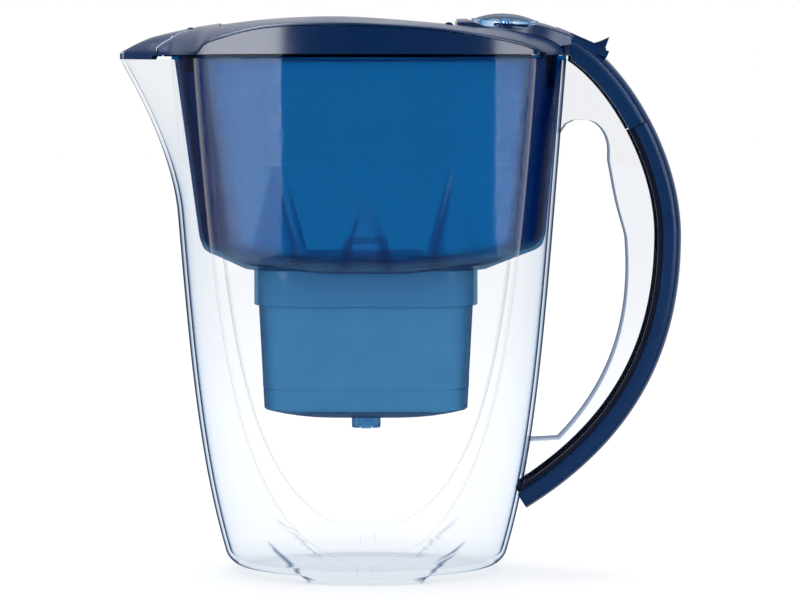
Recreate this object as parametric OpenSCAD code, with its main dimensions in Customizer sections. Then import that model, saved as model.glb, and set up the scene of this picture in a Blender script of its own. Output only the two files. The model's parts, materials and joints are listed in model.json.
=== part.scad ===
// Water filter pitcher with a flip lid: a clear jug, a reservoir that hangs in it, a filter
// cartridge in the reservoir's socket, a lid with a flip panel and a spout flap, and a bow handle.
// Millimetres, +Z up, spout towards -X, handle towards +X, mirror-symmetric about Y = 0.
// The origin is on the standing plane, midway between the spout tip and the back of the grip.

/* [Jug] */
// Height of the jug's rim above the standing plane
rim_z = 248.5; // [236:0.5:262]
// Half length of the jug at the rim, from its upright axis to the rear wall
rim_half_l = 97; // [94:0.5:100]
// Half width of the end ovals at the rim, measured as if the panels did not cut them
rim_half_w = 72; // [70:0.5:74]
// How far each end draws in evenly from the rim to the base
end_taper = 18.8; // [16:0.2:21]
// How far each end tucks in further, mostly near the base
base_tuck = 12.4; // [10:0.2:14]
// Distance from the axis to the middle of the front and back panels, at the rim
panel_rim_w = 58; // [56:0.5:60]
// The same distance low on the jug
panel_base_w = 51.3; // [50:0.1:52]
// Radius of the panels' shallow curve, seen from above
panel_r = 190; // [175:5:220]
// Wall thickness of the jug
jug_wall = 2; // [1.6:0.1:2.6]
// Thickness of the jug's floor
floor_t = 3; // [2:0.1:4]
// Radius of the corner between the jug's wall and its underside
base_r = 7; // [5:0.5:9]
// How far the front and back feet stand below the floor
foot_drop = 2.5; // [1.5:0.1:4]
// Length of each foot's standing face
foot_l = 50; // [40:1:60]
// Width of each foot's standing face
foot_w = 8; // [6:0.5:10]
// Height at which the feet run out into the wall
foot_h = 18; // [14:1:22]

/* [Spout] */
// Reach of the spout tip from the jug's upright axis
spout_reach = 119; // [114:1:124]
// Half width of the spout where it leaves the wall at the rim
spout_half_w = 20.5; // [17:0.5:24]
// Height at which the spout starts to leave the wall
spout_start_z = 175; // [165:1:185]
// How sharply the spout turns outwards as it rises
spout_curve = 1.7; // [1.4:0.1:2.2]

/* [Reservoir] */
// Wall thickness of the reservoir
res_wall = 1.8; // [1.4:0.1:2.2]
// Clearance between the reservoir and the jug's inside
res_gap = 0.5; // [0.4:0.1:1]
// Width of the pouring channel between the reservoir and the spout's wall, at the rim
channel_top = 2; // [1:0.5:4]
// Width of that channel at the reservoir's floor
channel_bottom = 6.6; // [4:0.2:9]
// Height of the reservoir's lowest edge, at the middle of its front and back
res_floor_z = 147; // [140:1:155]
// How much higher that edge is at the two ends
res_floor_rise = 12; // [8:1:15]
// Radius of the corner between the reservoir's wall and floor
res_r = 4; // [3:0.5:6]
// Thickness of the flange that hangs on the jug's rim
flange_t = 1.5; // [1.2:0.1:2]
// Distance between neighbouring conical flutes
flute_pitch = 42; // [38:1:44]
// Width of a flute at its foot
flute_w = 27; // [20:1:30]
// Height of the outer flutes
flute_h = 47; // [36:1:56]
// How much lower the middle flute ends
flute_mid_drop = 7; // [0:1:12]
// Depth of a flute at its foot
flute_depth = 7; // [4:0.5:8]

/* [Socket and cartridge] */
// Half length of the socket collar, outside
socket_half_l = 54; // [50:0.5:56]
// Half width of the socket collar, outside
socket_half_w = 30; // [27:0.5:31]
// Corner radius of the socket collar, outside
socket_r = 21; // [14:1:25]
// Height of the socket collar below the reservoir's floor
socket_h = 17.5; // [14:0.5:22]
// Wall thickness of the socket collar
socket_wall = 1.8; // [1.4:0.1:2.2]
// Clearance between the cartridge and its socket
cart_gap = 0.4; // [0.3:0.1:0.6]
// Length of the cartridge below the socket, at its ends
cart_drop = 50.5; // [44:0.5:56]
// How much further down the cartridge's rounded underside reaches
cart_belly = 5; // [3:0.5:7]
// How much each side of the cartridge draws in towards its underside
cart_taper = 2.6; // [1:0.2:4]
// Wall thickness of the cartridge
cart_wall = 1.6; // [1.2:0.1:2]
// Height of the cartridge's shoulder inside the socket
shoulder_h = 9.5; // [7:0.5:11]
// How much narrower the neck above the shoulder is, each side
neck_in = 2.4; // [1.8:0.1:3]
// Overlap of the cap's flange beyond the socket's opening, each side
cap_lap = 3.5; // [2.5:0.5:4.5]
// Thickness of the cap's flange
cap_t = 1.8; // [1.4:0.1:2.4]
// Half length of the raised platform on the cap
platform_half_l = 28; // [22:1:32]
// Half width of the raised platform on the cap
platform_half_w = 15; // [12:1:18]
// Height of the platform
platform_h = 4; // [3:0.5:6]
// Outer width of the pull loop
loop_w = 22.4; // [18:0.2:26]
// Height of the pull loop above the platform
loop_h = 7; // [6:0.5:9]
// Thickness of the pull loop's legs
loop_leg = 4.2; // [3:0.2:4.8]
// Width of the loop front to back
loop_depth = 5; // [4:0.5:7]
// Radius of the outlet nozzle
nozzle_r = 7; // [5:0.5:9]
// Length of the outlet nozzle below the cartridge
nozzle_h = 5.5; // [4:0.5:8]

/* [Lid] */
// Gap between the lid and the reservoir's flange
lid_gap = 0.2; // [0.1:0.1:0.4]
// Height of the lid's crown above its lower edge
crown_h = 19.4; // [17:0.2:22]
// Thickness of the lid's roof
roof_t = 2; // [1.6:0.1:2.4]
// Overhang of the roof beyond the side panels
roof_lap = 1.5; // [0.8:0.1:2]
// Distance of the flip panel's front end behind the rim's front
flip_front_in = 28; // [24:1:36]
// Distance of the flip panel's hinge line ahead of the rim's rear
flip_hinge_in = 57.5; // [55:0.5:61]
// Half width of the flip panel
flip_half_w = 36; // [30:1:40]
// Corner radius of the flip panel
flip_corner_r = 14; // [8:1:20]
// Play between the flip panel and its opening
seam = 0.5; // [0.4:0.1:0.8]
// Radius of the hinge pins
pin_r = 1.25; // [1:0.05:1.4]
// Radial play of the hinge pins in the knuckles that turn on them
pin_play = 0.06; // [0.03:0.01:0.1]
// Radius of the hinge knuckles
knuckle_r = 2.6; // [2.4:0.1:3]
// Length of one hinge knuckle
knuckle_l = 7; // [5:0.5:9]
// Distance of the spout flap's hinge line behind the rim's front
flap_hinge_in = 13; // [11:0.5:15]
// Length of the beak that belongs to the flap in its whole width, from the spout's tip
flap_beak_l = 17; // [15:0.5:18]
// Half width of the spout flap
flap_half_w = 13.2; // [12.8:0.1:14]

/* [Thumb slide and dial] */
// Depth of the push rod's middle below the flip panel's hinge line
crank_l = 5.5; // [5.3:0.1:5.7]
// Angle of the thumb slide's track below level, towards the rear
slide_angle = 23.5; // [21:0.5:26]
// Distance of the thumb slide's front end ahead of the rim's rear
slide_front_in = 5; // [4:0.5:6]
// Length of the thumb slide's plate along the track
slide_l = 19.6; // [18:0.2:21]
// Half width of the thumb slide's plate
slide_half_w = 7.5; // [6:0.5:9]
// Thickness of the thumb slide's plate
slide_t = 2; // [1.6:0.1:2.4]
// Height of the thumb tab above the plate
tab_h = 5.5; // [4:0.5:7]
// Length of the thumb tab
tab_l = 9; // [7:0.5:11]
// Height of the push rod's section
rod_t = 3; // [2.4:0.2:3.2]
// Half width of the push rod
rod_half_w = 2.5; // [2:0.25:3.5]
// Distance of the dial's middle ahead of the rim's rear
dial_in = 29.7; // [29:0.1:30.5]
// Radius of the dial's knob
dial_r = 16.3; // [15:0.1:16.6]
// Tilt of the dial towards the rear
dial_tilt = 2.5; // [0:0.5:4]
// Radius of the dial's clear body below its rim
dial_body_r = 13.6; // [12:0.2:14]
// Height of the dial's dome above its rim
dome_h = 3; // [2:0.5:4]
// Radius of the rivet that the dial turns on
rivet_r = 2; // [1.6:0.1:2.4]

/* [Handle] */
// Reach of the grip's back from the jug's axis
grip_reach = 153; // [148:1:158]
// Height at which the grip reaches furthest out
grip_reach_z = 163; // [155:1:170]
// Half width of the grip cover
grip_half_w = 13.5; // [12:0.5:15]
// Depth of the grip cover's sides
grip_t = 9.5; // [8:0.5:11]
// Wall thickness of the grip cover and the lid's tail
cover_wall = 2.2; // [1.8:0.1:2.6]
// Wall thickness of the grip's dark liner
liner_wall = 1.2; // [1:0.1:1.6]
// How far the liner shows past the cover's sides
liner_show = 2.4; // [1.5:0.1:3.5]
// Height of the seam between the lid's tail and the grip cover
tail_seam_z = 220; // [214:1:226]
// Clearance between the handle's nested shells
shell_gap = 0.1; // [0.05:0.05:0.2]

/* [Hidden] */
$fn = 48;
CLEAR = [0.85, 0.91, 0.97, 0.35];
RESERVOIR_BLUE = [0.05, 0.35, 0.65, 0.8];
CARTRIDGE_BLUE = [0.25, 0.55, 0.8, 0.8];
NAVY = [0.03, 0.13, 0.3];
DARK = [0.02, 0.05, 0.12];

// Samples round a quarter of a section's end cap, and across its panel
jug_cap_steps = 12;
jug_panel_steps = 16;
res_cap_steps = 7;
res_panel_steps = 32;
// Rings up a wall
jug_rows = 12;
res_rows = 7;

// The whole model is drawn about the jug's axis and then shifted, so that the origin is midway
// between the spout tip and the back of the grip
shift_x = (spout_reach - grip_reach) / 2;

// Places along X, measured from the jug's axis
flip_front_x = flip_front_in - rim_half_l;
flip_hinge_x = rim_half_l - flip_hinge_in;
flap_hinge_x = flap_hinge_in - rim_half_l;
flap_seam_x = flap_beak_l - spout_reach;
slide_front_x = rim_half_l - slide_front_in;
dial_x = rim_half_l - dial_in;
tail_start_x = rim_half_l + 1.6;

// ---- shared shapes ----

function mix(a, b, t) = a + (b - a) * t;
function bezier(p, t) = pow(1 - t, 3) * p[0] + 3 * t * pow(1 - t, 2) * p[1]
    + 3 * t * t * (1 - t) * p[2] + pow(t, 3) * p[3];
function bezier_slope(p, t) = 3 * pow(1 - t, 2) * (p[1] - p[0]) + 6 * t * (1 - t) * (p[2] - p[1])
    + 3 * t * t * (p[3] - p[2]);

// Height on a smooth line through [x, height] points that are sorted along x
function span_at(line, x, i = 0) = i >= len(line) - 2 || x < line[i + 1].x ? i : span_at(line, x, i + 1);
function tangent_at(line, i) = let (a = max(i - 1, 0), b = min(i + 1, len(line) - 1))
    (line[b].y - line[a].y) / (line[b].x - line[a].x);
function height_at(line, x) = let (
        i = span_at(line, x),
        w = line[i + 1].x - line[i].x,
        t = min(max((x - line[i].x) / w, 0), 1))
    line[i].y * (2 * t * t * t - 3 * t * t + 1) + tangent_at(line, i) * w * (t * t * t - 2 * t * t + t)
    + line[i + 1].y * (3 * t * t - 2 * t * t * t) + tangent_at(line, i + 1) * w * (t * t * t - t * t);

// Two triangles between neighbouring points of two rows that start at a and b in the point list
function strip(a, b, i, j) = [[a + i, b + i, a + j], [a + j, b + i, b + j]];

// Solid through a stack of rings with equal point counts, counter-clockwise seen from above and
// rising; wrap joins the last ring to the first, and otherwise flat caps close both ends
module loft(rings, wrap = false) {
    n = len(rings[0]);
    m = len(rings);
    sides = [for (j = [0 : m - (wrap ? 1 : 2)]) for (i = [0 : n - 1])
        each strip(j * n, ((j + 1) % m) * n, i, (i + 1) % n)];
    caps = wrap ? [] : [[for (i = [0 : n - 1]) i], [for (i = [n - 1 : -1 : 0]) (m - 1) * n + i]];
    polyhedron([for (r = rings) each r], concat(sides, caps));
}

// Thick sheet between two grids of points, rows by columns, with its four borders closed
module sheet(top, under) {
    m = len(top);
    n = len(top[0]);
    u = m * n;
    polyhedron([for (r = top) each r, for (r = under) each r], [
        for (j = [0 : m - 2]) for (i = [0 : n - 2]) each strip(j * n, (j + 1) * n, i, i + 1),
        for (j = [0 : m - 2]) for (i = [0 : n - 2]) each strip(u + (j + 1) * n, u + j * n, i, i + 1),
        for (i = [0 : n - 2]) each strip(u, 0, i, i + 1),
        for (i = [0 : n - 2]) each strip((m - 1) * n, u + (m - 1) * n, i, i + 1),
        for (j = [0 : m - 2]) each [[j * n, u + j * n, (j + 1) * n],
            [(j + 1) * n, u + j * n, u + (j + 1) * n]],
        for (j = [0 : m - 2]) each [[(j + 1) * n - 1, (j + 2) * n - 1, u + (j + 1) * n - 1],
            [u + (j + 1) * n - 1, (j + 2) * n - 1, u + (j + 2) * n - 1]]
    ]);
}

// Straight bar along Y, centred on Y = 0, through a point of the XZ plane
module cross_bar(at, r, length) {
    translate([at.x, length / 2, at.y]) rotate([90, 0, 0]) cylinder(r = r, h = length);
}

// Outline in the XZ plane drawn out along Y, centred on Y = 0
module side_profile(points, width) {
    translate([0, width / 2, 0]) rotate([90, 0, 0]) linear_extrude(width) polygon(points);
}

// Rectangle in plan with four equal round corners
module round_rect(x0, x1, half_w, r) {
    for (x = [x0 + r, x1 - r], y = [r - half_w, half_w - r]) translate([x, y]) circle(r);
    translate([x0 + r, -half_w]) square([x1 - x0 - 2 * r, 2 * half_w]);
    translate([x0, r - half_w]) square([x1 - x0, 2 * (half_w - r)]);
}

// ---- the jug's form ----

function below_rim(z) = 1 - z / rim_z;
function oval_l(z) = rim_half_l - end_taper * below_rim(z) - base_tuck * pow(below_rim(z), 5);
function oval_w(z) = oval_l(z) * rim_half_w / rim_half_l;
function panel_w(z) = panel_base_w + (panel_rim_w - panel_base_w) * pow(z / rim_z, 2.2);
function spout_out(z) = z <= spout_start_z ? 0
    : (spout_reach - rim_half_l) * pow((z - spout_start_z) / (rim_z - spout_start_z), spout_curve);

// Distance from the axis at which an end oval l by w meets a panel at distance p
function crease_y(l, w, p) = let (k = l * l / (w * w), c = p - panel_r)
    (-c - sqrt(max(c * c - (k - 1) * (panel_r * panel_r - l * l - c * c), 0))) / (k - 1);
function crease_angle(l, w, p) = asin(min(crease_y(l, w, p) / w, sin(87)));

// The spout's beak: how far it stands out at distance y from the middle, as a share of its reach
beak_blunt = 0.16;
function beak(y) = max(0, 1 - sqrt(pow(y / spout_half_w, 2) + beak_blunt * beak_blunt)) / (1 - beak_blunt);

// Plan section with end ovals lr (rear) and ll (spout end) by w, panels at p and the spout out by s
function section(lr, ll, w, p, s, cap_steps, panel_steps) = let (
        ar = crease_angle(lr, w, p),
        al = crease_angle(ll, w, p),
        xr = lr * cos(ar),
        xl = -ll * cos(al),
        rear = [for (i = [0 : cap_steps]) [lr * cos(ar * i / cap_steps), w * sin(ar * i / cap_steps)]],
        chord_r = sqrt(panel_r * panel_r - xr * xr),
        chord_l = sqrt(panel_r * panel_r - xl * xl),
        panel = [for (i = [1 : panel_steps - 1]) let (t = i / panel_steps, x = mix(xr, xl, t))
            [x, mix(w * sin(ar) - chord_r, w * sin(al) - chord_l, t) + sqrt(panel_r * panel_r - x * x)]],
        front = [for (i = [0 : cap_steps]) let (a = al * (1 - i / cap_steps), y = w * sin(a))
            [-ll * cos(a) - s * beak(y), y]],
        half = concat(rear, panel, front),
        n = len(half))
    concat(half, [for (i = [n - 2 : -1 : 1]) [half[i].x, -half[i].y]]);

// Ring of the jug at height z, drawn in by inset
function jug_plan(z, inset) = section(oval_l(z) - inset, oval_l(z) - inset, oval_w(z) - inset,
    panel_w(z) - inset, spout_out(z), jug_cap_steps, jug_panel_steps);
function level(plan, z) = [for (q = plan) [q.x, q.y, z]];

// A foot keeps the wall's full width down to the standing plane, between edges that spread upwards;
// foot_share runs from 1 on the foot to 0 beside it, over a short slope
foot_flare = 19;
foot_slope = 7;
function foot_share(x, z) = let (edge = foot_l / 2 + foot_flare * z / foot_h)
    z > foot_h ? 0 : min(max((edge - abs(x)) / foot_slope + 1, 0), 1);
function base_ring(z, inset, drop) = let (full = jug_plan(z, 0), tucked = jug_plan(z, inset))
    [for (i = [0 : len(full) - 1]) let (s = foot_share(full[i].x, z), q = mix(tucked[i], full[i], s))
        [q.x, q.y, z - s * drop]];
function foot_inner_ring(z, inset) = let (plan = jug_plan(z, inset))
    [for (q = plan) [q.x, q.y, z - foot_drop * foot_share(q.x, z)]];

wall_rows = [for (i = [1 : jug_rows]) pow(i / jug_rows, 0.85)];
inner_floor_z = foot_drop + floor_t;
inner_r = max(base_r - jug_wall, 2);

function jug_outer_rings() = concat(
    [base_ring(foot_drop, base_r, foot_drop)],
    [for (a = [30, 60, 90]) let (z = foot_drop + base_r * (1 - cos(a)))
        base_ring(z, base_r * (1 - sin(a)), foot_drop * (1 - a / 90))],
    [for (t = wall_rows) let (z = mix(foot_drop + base_r, rim_z, t)) level(jug_plan(z, 0), z)]);

// The jug's outer form as one solid, grown by a little, to cut what meets its wall
module jug_form(grow) {
    rows = concat([0], wall_rows);
    loft(concat([for (t = rows) let (z = mix(foot_drop + base_r, rim_z, t)) level(jug_plan(z, -grow), z)],
        [level(jug_plan(rim_z, -grow), rim_z + 1)]));
}

// ---- jug and handle ----

module jug() {
    color(CLEAR) loft(concat(
        [level(jug_plan(foot_drop, base_r + foot_w + 1), foot_drop)],
        [foot_inner_ring(foot_drop, base_r + foot_w - 1)],
        jug_outer_rings(),
        [for (t = [for (i = [jug_rows - 1 : -1 : 0]) wall_rows[i]])
            let (z = mix(inner_floor_z + inner_r, rim_z, t)) level(jug_plan(z, jug_wall), z)],
        [for (a = [90, 60, 30, 0]) let (z = inner_floor_z + inner_r * (1 - cos(a)))
            level(jug_plan(z, jug_wall + inner_r * (1 - sin(a))), z)]
    ));
}

// ---- handle ----

// Middle line of the handle's back: from the lid's rear over the top to the furthest reach, then down
grip_tip_z = 30.5;
grip_tip = [oval_l(grip_tip_z) + 4.4, grip_tip_z];
track_fall = tan(slide_angle);
slide_top = [slide_front_x, rim_z + 15.9];
tail_start = [tail_start_x, slide_top.y - (tail_start_x - slide_front_x) * track_fall];
back_upper = [tail_start, tail_start + [25, -10.5], [grip_reach, grip_reach_z + 42],
    [grip_reach, grip_reach_z]];
back_lower = [[grip_reach, grip_reach_z], [grip_reach, grip_reach_z - 46],
    [grip_tip.x + 60.5, grip_tip.y + 38], grip_tip];

// Point on the back's curve, moved inwards by a depth
function inwards(curve, t, depth) = let (d = bezier_slope(curve, t))
    bezier(curve, t) + depth * [d.y, -d.x] / norm(d);

// Where the upper curve passes a height, by halving
function t_at_height(z, lo = 0, hi = 1, n = 20) = let (mid = (lo + hi) / 2) n == 0 ? mid
    : bezier(back_upper, mid).y > z ? t_at_height(z, mid, hi, n - 1) : t_at_height(z, lo, mid, n - 1);
seam_t = t_at_height(tail_seam_z);

// Half of a C-shaped cross-section, edge to crown, as shares of its depth and of its half width
shell_turns = [[1, 1], [0.55, 1], [0.28, 0.93], [0.11, 0.76], [0.03, 0.42], [0, 0]];
shell_columns = concat(shell_turns,
    [for (i = [len(shell_turns) - 2 : -1 : 0]) [shell_turns[i].x, -shell_turns[i].y]]);
function shell_row(s, back, depth, half_w) = [for (q = shell_columns)
    let (c = inwards(s[0], s[1], mix(back, depth, q.x))) [c.x, half_w * q.y, c.y]];

// C-shaped shell along [curve, t] stations; its crown lies back below the back's line, its edges depth
module c_shell(stations, back, depth, half_w, wall) {
    sheet([for (s = stations) shell_row(s, back, depth, half_w)],
        [for (s = stations) shell_row(s, back + wall, depth, half_w - wall)]);
}

grip_stations = concat([for (i = [0 : 4]) [back_upper, mix(seam_t, 1, i / 4)]],
    [for (i = [1 : 12]) [back_lower, i / 12]]);
tail_stations = [for (i = [0 : 7]) [back_upper, seam_t * i / 7 - (i == 7 ? 0.004 : 0)]];
band_depth = grip_t + liner_show;
liner_back = cover_wall + shell_gap;
liner_half_w = grip_half_w - cover_wall - shell_gap;
bow_half_w = liner_half_w - liner_wall - shell_gap;
bow_back = liner_back + liner_wall + shell_gap;
// Under the lid's tail the bow stands further back, to leave room for the thumb slide's bed
bow_top_back = slide_t + cover_wall + 1.4;

// Depths of the finger opening behind the back's line, and its top and bottom
finger_top_z = 219.5;
finger_bottom_z = 64;
finger_depth_mid = 26.7;
finger_depth_low = 18;
// Height of the opening's top corner, and places along its top as shares of the way from the wall
finger_corner_h = 15;
finger_top_shares = [0.08, 0.25, 0.5];
thumb_bulge = 2.6;

// Outline of the finger opening: round top corners, then along the bow down to the wall
function finger_line() = let (
        high = [for (i = [0 : 5]) let (t = mix(0.62, 1, i / 5))
            inwards(back_upper, t, finger_depth_mid + thumb_bulge * sin(180 * i / 5))],
        low = [for (i = [1 : 7]) let (t = i * 0.118)
            inwards(back_lower, t, mix(finger_depth_mid, finger_depth_low, t / 0.83))],
        wall_x = oval_l(finger_top_z),
        top_l = high[0].x - wall_x)
    concat([for (a = [0 : 22.5 : 90]) [high[0].x - top_l * finger_top_shares[2] * (1 - sin(a)),
            finger_top_z - finger_corner_h * (1 - cos(a))]],
        high, low, [[oval_l(finger_bottom_z) + 3, finger_bottom_z],
        [oval_l(finger_bottom_z) - 8, finger_bottom_z], [wall_x - 14, finger_top_z - 12],
        [wall_x - 1.5, finger_top_z - 7], [wall_x + top_l * finger_top_shares[0], finger_top_z - 2],
        [wall_x + top_l * finger_top_shares[1], finger_top_z]]);

// The bow's back is stepped, so that it fits inside the round liner: how deep each step starts, as a
// share of the band's depth, and how wide it is, as a share of the bow's width
bow_steps = [[0.03, 0.42], [0.11, 0.76], [0.28, 0.93], [0.55, 1]];
function bow_line(share) = concat(
    [[rim_half_l - 20, rim_z], [tail_start_x + 0.8, rim_z]],
    [for (i = [1 : 7]) inwards(back_upper, mix(0.1, seam_t, i / 7),
        mix(mix(bow_top_back, bow_back, i / 7), band_depth, share))],
    [for (i = [1 : 4]) inwards(back_upper, mix(seam_t, 1, i / 4), mix(bow_back, band_depth, share))],
    [for (i = [1 : 11]) inwards(back_lower, i / 12, mix(bow_back, band_depth, share))],
    [[oval_l(grip_tip_z) - 20, grip_tip_z + 11]]);

module handle_bow() {
    color(CLEAR) difference() {
        for (step = bow_steps) side_profile(bow_line(step[0]), 2 * bow_half_w * step[1]);
        side_profile(finger_line(), 2 * bow_half_w + 2);
        jug_form(0);
    }
}

module grip_liner() {
    color(DARK) difference() {
        c_shell(grip_stations, liner_back, band_depth, liner_half_w, liner_wall);
        jug_form(shell_gap);
    }
}

module grip_cover() {
    color(NAVY) difference() {
        c_shell(grip_stations, 0, grip_t, grip_half_w, cover_wall);
        jug_form(shell_gap);
    }
}

// ---- reservoir ----

function channel(z) = mix(channel_bottom, channel_top, (z - res_floor_z) / (rim_z - res_floor_z));
function res_plan(z, inset) = let (g = jug_wall + res_gap + inset)
    section(oval_l(z) - g, oval_l(z) - g - channel(z), oval_w(z) - g, panel_w(z) - g, 0,
        res_cap_steps, res_panel_steps);
function floor_edge(x) = res_floor_z + res_floor_rise * pow(x / oval_l(res_floor_z), 2);

// Depth of the conical flutes at x and at height z over the floor's edge; each narrows to its apex
function flute_height(k) = flute_h - (k == 0 ? flute_mid_drop : 0);
function flute(x, z) = max([for (k = [-1 : 1]) let (
        rise = 1 - z / flute_height(k),
        across = rise <= 0 ? 1 : abs(x - k * flute_pitch) / (flute_w / 2 * rise))
    across >= 1 ? 0 : flute_depth * rise * sqrt(1 - across * across)]);
function fluted(x, y, z) = [x, y - sign(y) * flute(x, z), floor_edge(x) + z];

// Ring at share t of the wall's height; the floor's edge is lowest in the middle
function res_wall_ring(t, inset) = let (plan = res_plan(mix(res_floor_z, rim_z, t), inset))
    [for (q = plan) let (z = (rim_z - floor_edge(q.x)) * t) fluted(q.x, q.y, z)];
function res_corner_ring(a, r, inset, lift) = let (plan = res_plan(res_floor_z, inset + r * (1 - sin(a))))
    [for (q = plan) fluted(q.x, q.y, lift + r * (1 - cos(a)))];
flange_z = rim_z + lid_gap;
function flange_ring(z, out) = level(section(rim_half_l + out, rim_half_l - jug_wall - res_gap - channel_top
    + 1.5 + out, rim_half_w + out, panel_rim_w + out, 0, res_cap_steps, res_panel_steps), z);

// Plan of the socket, with as many points as the reservoir's section
function socket_ring(inset, z) = let (
        half_l = socket_half_l - inset,
        half_w = socket_half_w - inset,
        r = socket_r - inset,
        corner = [for (i = [0 : res_cap_steps]) let (a = 90 * (i - 1) / (res_cap_steps - 1))
            i == 0 ? [half_l, 0, z] : [half_l - r + r * cos(a), half_w - r + r * sin(a), z]],
        flat = [for (i = [1 : res_panel_steps - 1])
            [mix(half_l - r, r - half_l, i / res_panel_steps), half_w, z]],
        half = concat(corner, flat, [for (i = [res_cap_steps : -1 : 0]) [-corner[i].x, corner[i].y, z]]),
        n = len(half))
    concat(half, [for (i = [n - 2 : -1 : 1]) [half[i].x, -half[i].y, z]]);
socket_top_z = res_floor_z + 1;
socket_bottom_z = res_floor_z - socket_h + 1;
res_top_r = res_r - res_wall / 2;
// Level land round the socket's mouth, that the cartridge cap's flange lies over
cap_land = cap_lap + 1;
res_shares = [for (i = [1 : res_rows]) pow(i / res_rows, 1.15)];
corner_t = 0.05;

module reservoir() {
    color(RESERVOIR_BLUE) loft(concat(
        [socket_ring(0, socket_bottom_z), socket_ring(0, socket_top_z)],
        [socket_ring(-cap_land, socket_top_z)],
        [for (a = [0, 45]) res_corner_ring(a, res_r, 0, 0)],
        [for (s = res_shares) res_wall_ring(mix(corner_t, 1, s), 0)],
        [flange_ring(flange_z, 0), flange_ring(flange_z + flange_t, 0)],
        [level(res_plan(rim_z, res_wall), flange_z + flange_t)],
        [for (i = [res_rows - 2 : -1 : 0]) res_wall_ring(mix(corner_t, 1, res_shares[i]), res_wall)],
        [for (a = [45, 0]) res_corner_ring(a, res_top_r, res_wall, res_wall)],
        [socket_ring(-cap_land, socket_top_z + res_wall)],
        [socket_ring(socket_wall, socket_top_z + res_wall), socket_ring(socket_wall, socket_bottom_z)]
    ), wrap = true);
}

// ---- cartridge ----

// Plan of a box with four round corners
corner_steps = 6;
function pill(half_l, half_w, r) = [for (q = [0 : 3]) let (
        cx = (q == 0 || q == 3 ? 1 : -1) * (half_l - r),
        cy = (q < 2 ? 1 : -1) * (half_w - r))
    for (i = [0 : corner_steps]) let (a = 90 * (q + i / corner_steps)) [cx + r * cos(a), cy + r * sin(a)]];
cart_half_l = socket_half_l - socket_wall - cart_gap;
cart_half_w = socket_half_w - socket_wall - cart_gap;
cart_r = socket_r - socket_wall - cart_gap;
cart_base_z = socket_bottom_z - cart_drop;
shoulder_z = socket_bottom_z + shoulder_h;
neck_z = shoulder_z + 2;
cap_z = socket_top_z + res_wall + lid_gap;
// Ring of the cartridge, drawn in by inset; share shrinks it towards the middle of the underside
function cart_ring(inset, z, share = 1) = level(pill((cart_half_l - inset) * share,
    (cart_half_w - inset) * share, (cart_r - inset) * share), z);
function belly_z(share) = cart_base_z - cart_belly * (1 - pow(share, 3));

module plan_slab(inset, z0, z1) {
    translate([0, 0, z0]) linear_extrude(z1 - z0)
        round_rect(inset - cart_half_l, cart_half_l - inset, cart_half_w - inset, cart_r - inset);
}

module cartridge_body() {
    color(CARTRIDGE_BLUE) difference() {
        loft(concat(
            [for (share = [0.4, 0.7, 0.9]) cart_ring(cart_taper, belly_z(share), share)],
            [cart_ring(cart_taper, cart_base_z), cart_ring(0, socket_bottom_z)],
            [cart_ring(0, shoulder_z - 3), cart_ring(neck_in / 2, shoulder_z - 0.8),
                cart_ring(neck_in, shoulder_z)],
            [cart_ring(neck_in, neck_z), cart_ring(neck_in + cart_wall, neck_z)],
            [cart_ring(neck_in + cart_wall, shoulder_z - cart_wall), cart_ring(cart_wall, shoulder_z - 4.5),
                cart_ring(cart_wall, socket_bottom_z)],
            [cart_ring(cart_taper + cart_wall, cart_base_z)],
            [for (share = [0.9, 0.7, 0.4])
                cart_ring(cart_taper + cart_wall, belly_z(share) + cart_wall, share)]
        ));
        cylinder(r = nozzle_r - 1.5, h = cart_base_z + 10);
    }
}

module outlet_nozzle() {
    top = belly_z(0.4);
    color(CARTRIDGE_BLUE) difference() {
        union() {
            translate([0, 0, top - nozzle_h]) cylinder(r = nozzle_r, h = nozzle_h);
            translate([0, 0, top]) cylinder(r = nozzle_r - 1.6, h = cart_wall + 0.8);
        }
        translate([0, 0, top - nozzle_h - 1]) cylinder(r = nozzle_r - 3, h = nozzle_h + cart_wall + 3);
        for (a = [0, 60, 120]) translate([0, 0, top - nozzle_h]) rotate([0, 0, a])
            cube([2 * nozzle_r + 2, 2, 2], center = true);
    }
}

screen_t = 1;
screen_z = cart_base_z + 1.6;
media_low_z = screen_z + screen_t + 0.2;
media_top_z = shoulder_z - 5;
media_in = cart_wall;

module slot_row(pitch, count, slot_l, slot_w, y, z0, h) {
    for (i = [0 : count - 1]) translate([(i - (count - 1) / 2) * pitch, y, z0 + h / 2])
        cube([slot_w, slot_l, h], center = true);
}

module outlet_screen() {
    color("white") difference() {
        plan_slab(cart_taper + media_in, screen_z, screen_z + screen_t);
        for (y = [-12, 0, 12]) slot_row(7, 9, 8, 1.6, y, screen_z - 1, screen_t + 2);
    }
}

module media_bed() {
    color([0.93, 0.95, 0.96]) loft([cart_ring(cart_taper + media_in + 0.2, media_low_z),
        cart_ring(media_in + 0.4, media_top_z)]);
}

module inlet_screen() {
    color("white") difference() {
        plan_slab(neck_in + media_in, cap_z - screen_t - 1.2, cap_z - 1.2);
        for (y = [-12, 0, 12]) slot_row(7, 9, 8, 1.6, y, cap_z - screen_t - 2.2, screen_t + 2);
    }
}

module socket_seal() {
    seal_z = neck_z + 1.5;
    color(DARK) difference() {
        plan_slab(-(cart_gap - 0.2), seal_z, seal_z + 3);
        plan_slab(neck_in + 0.02, seal_z - 1, seal_z + 4);
    }
}

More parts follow.
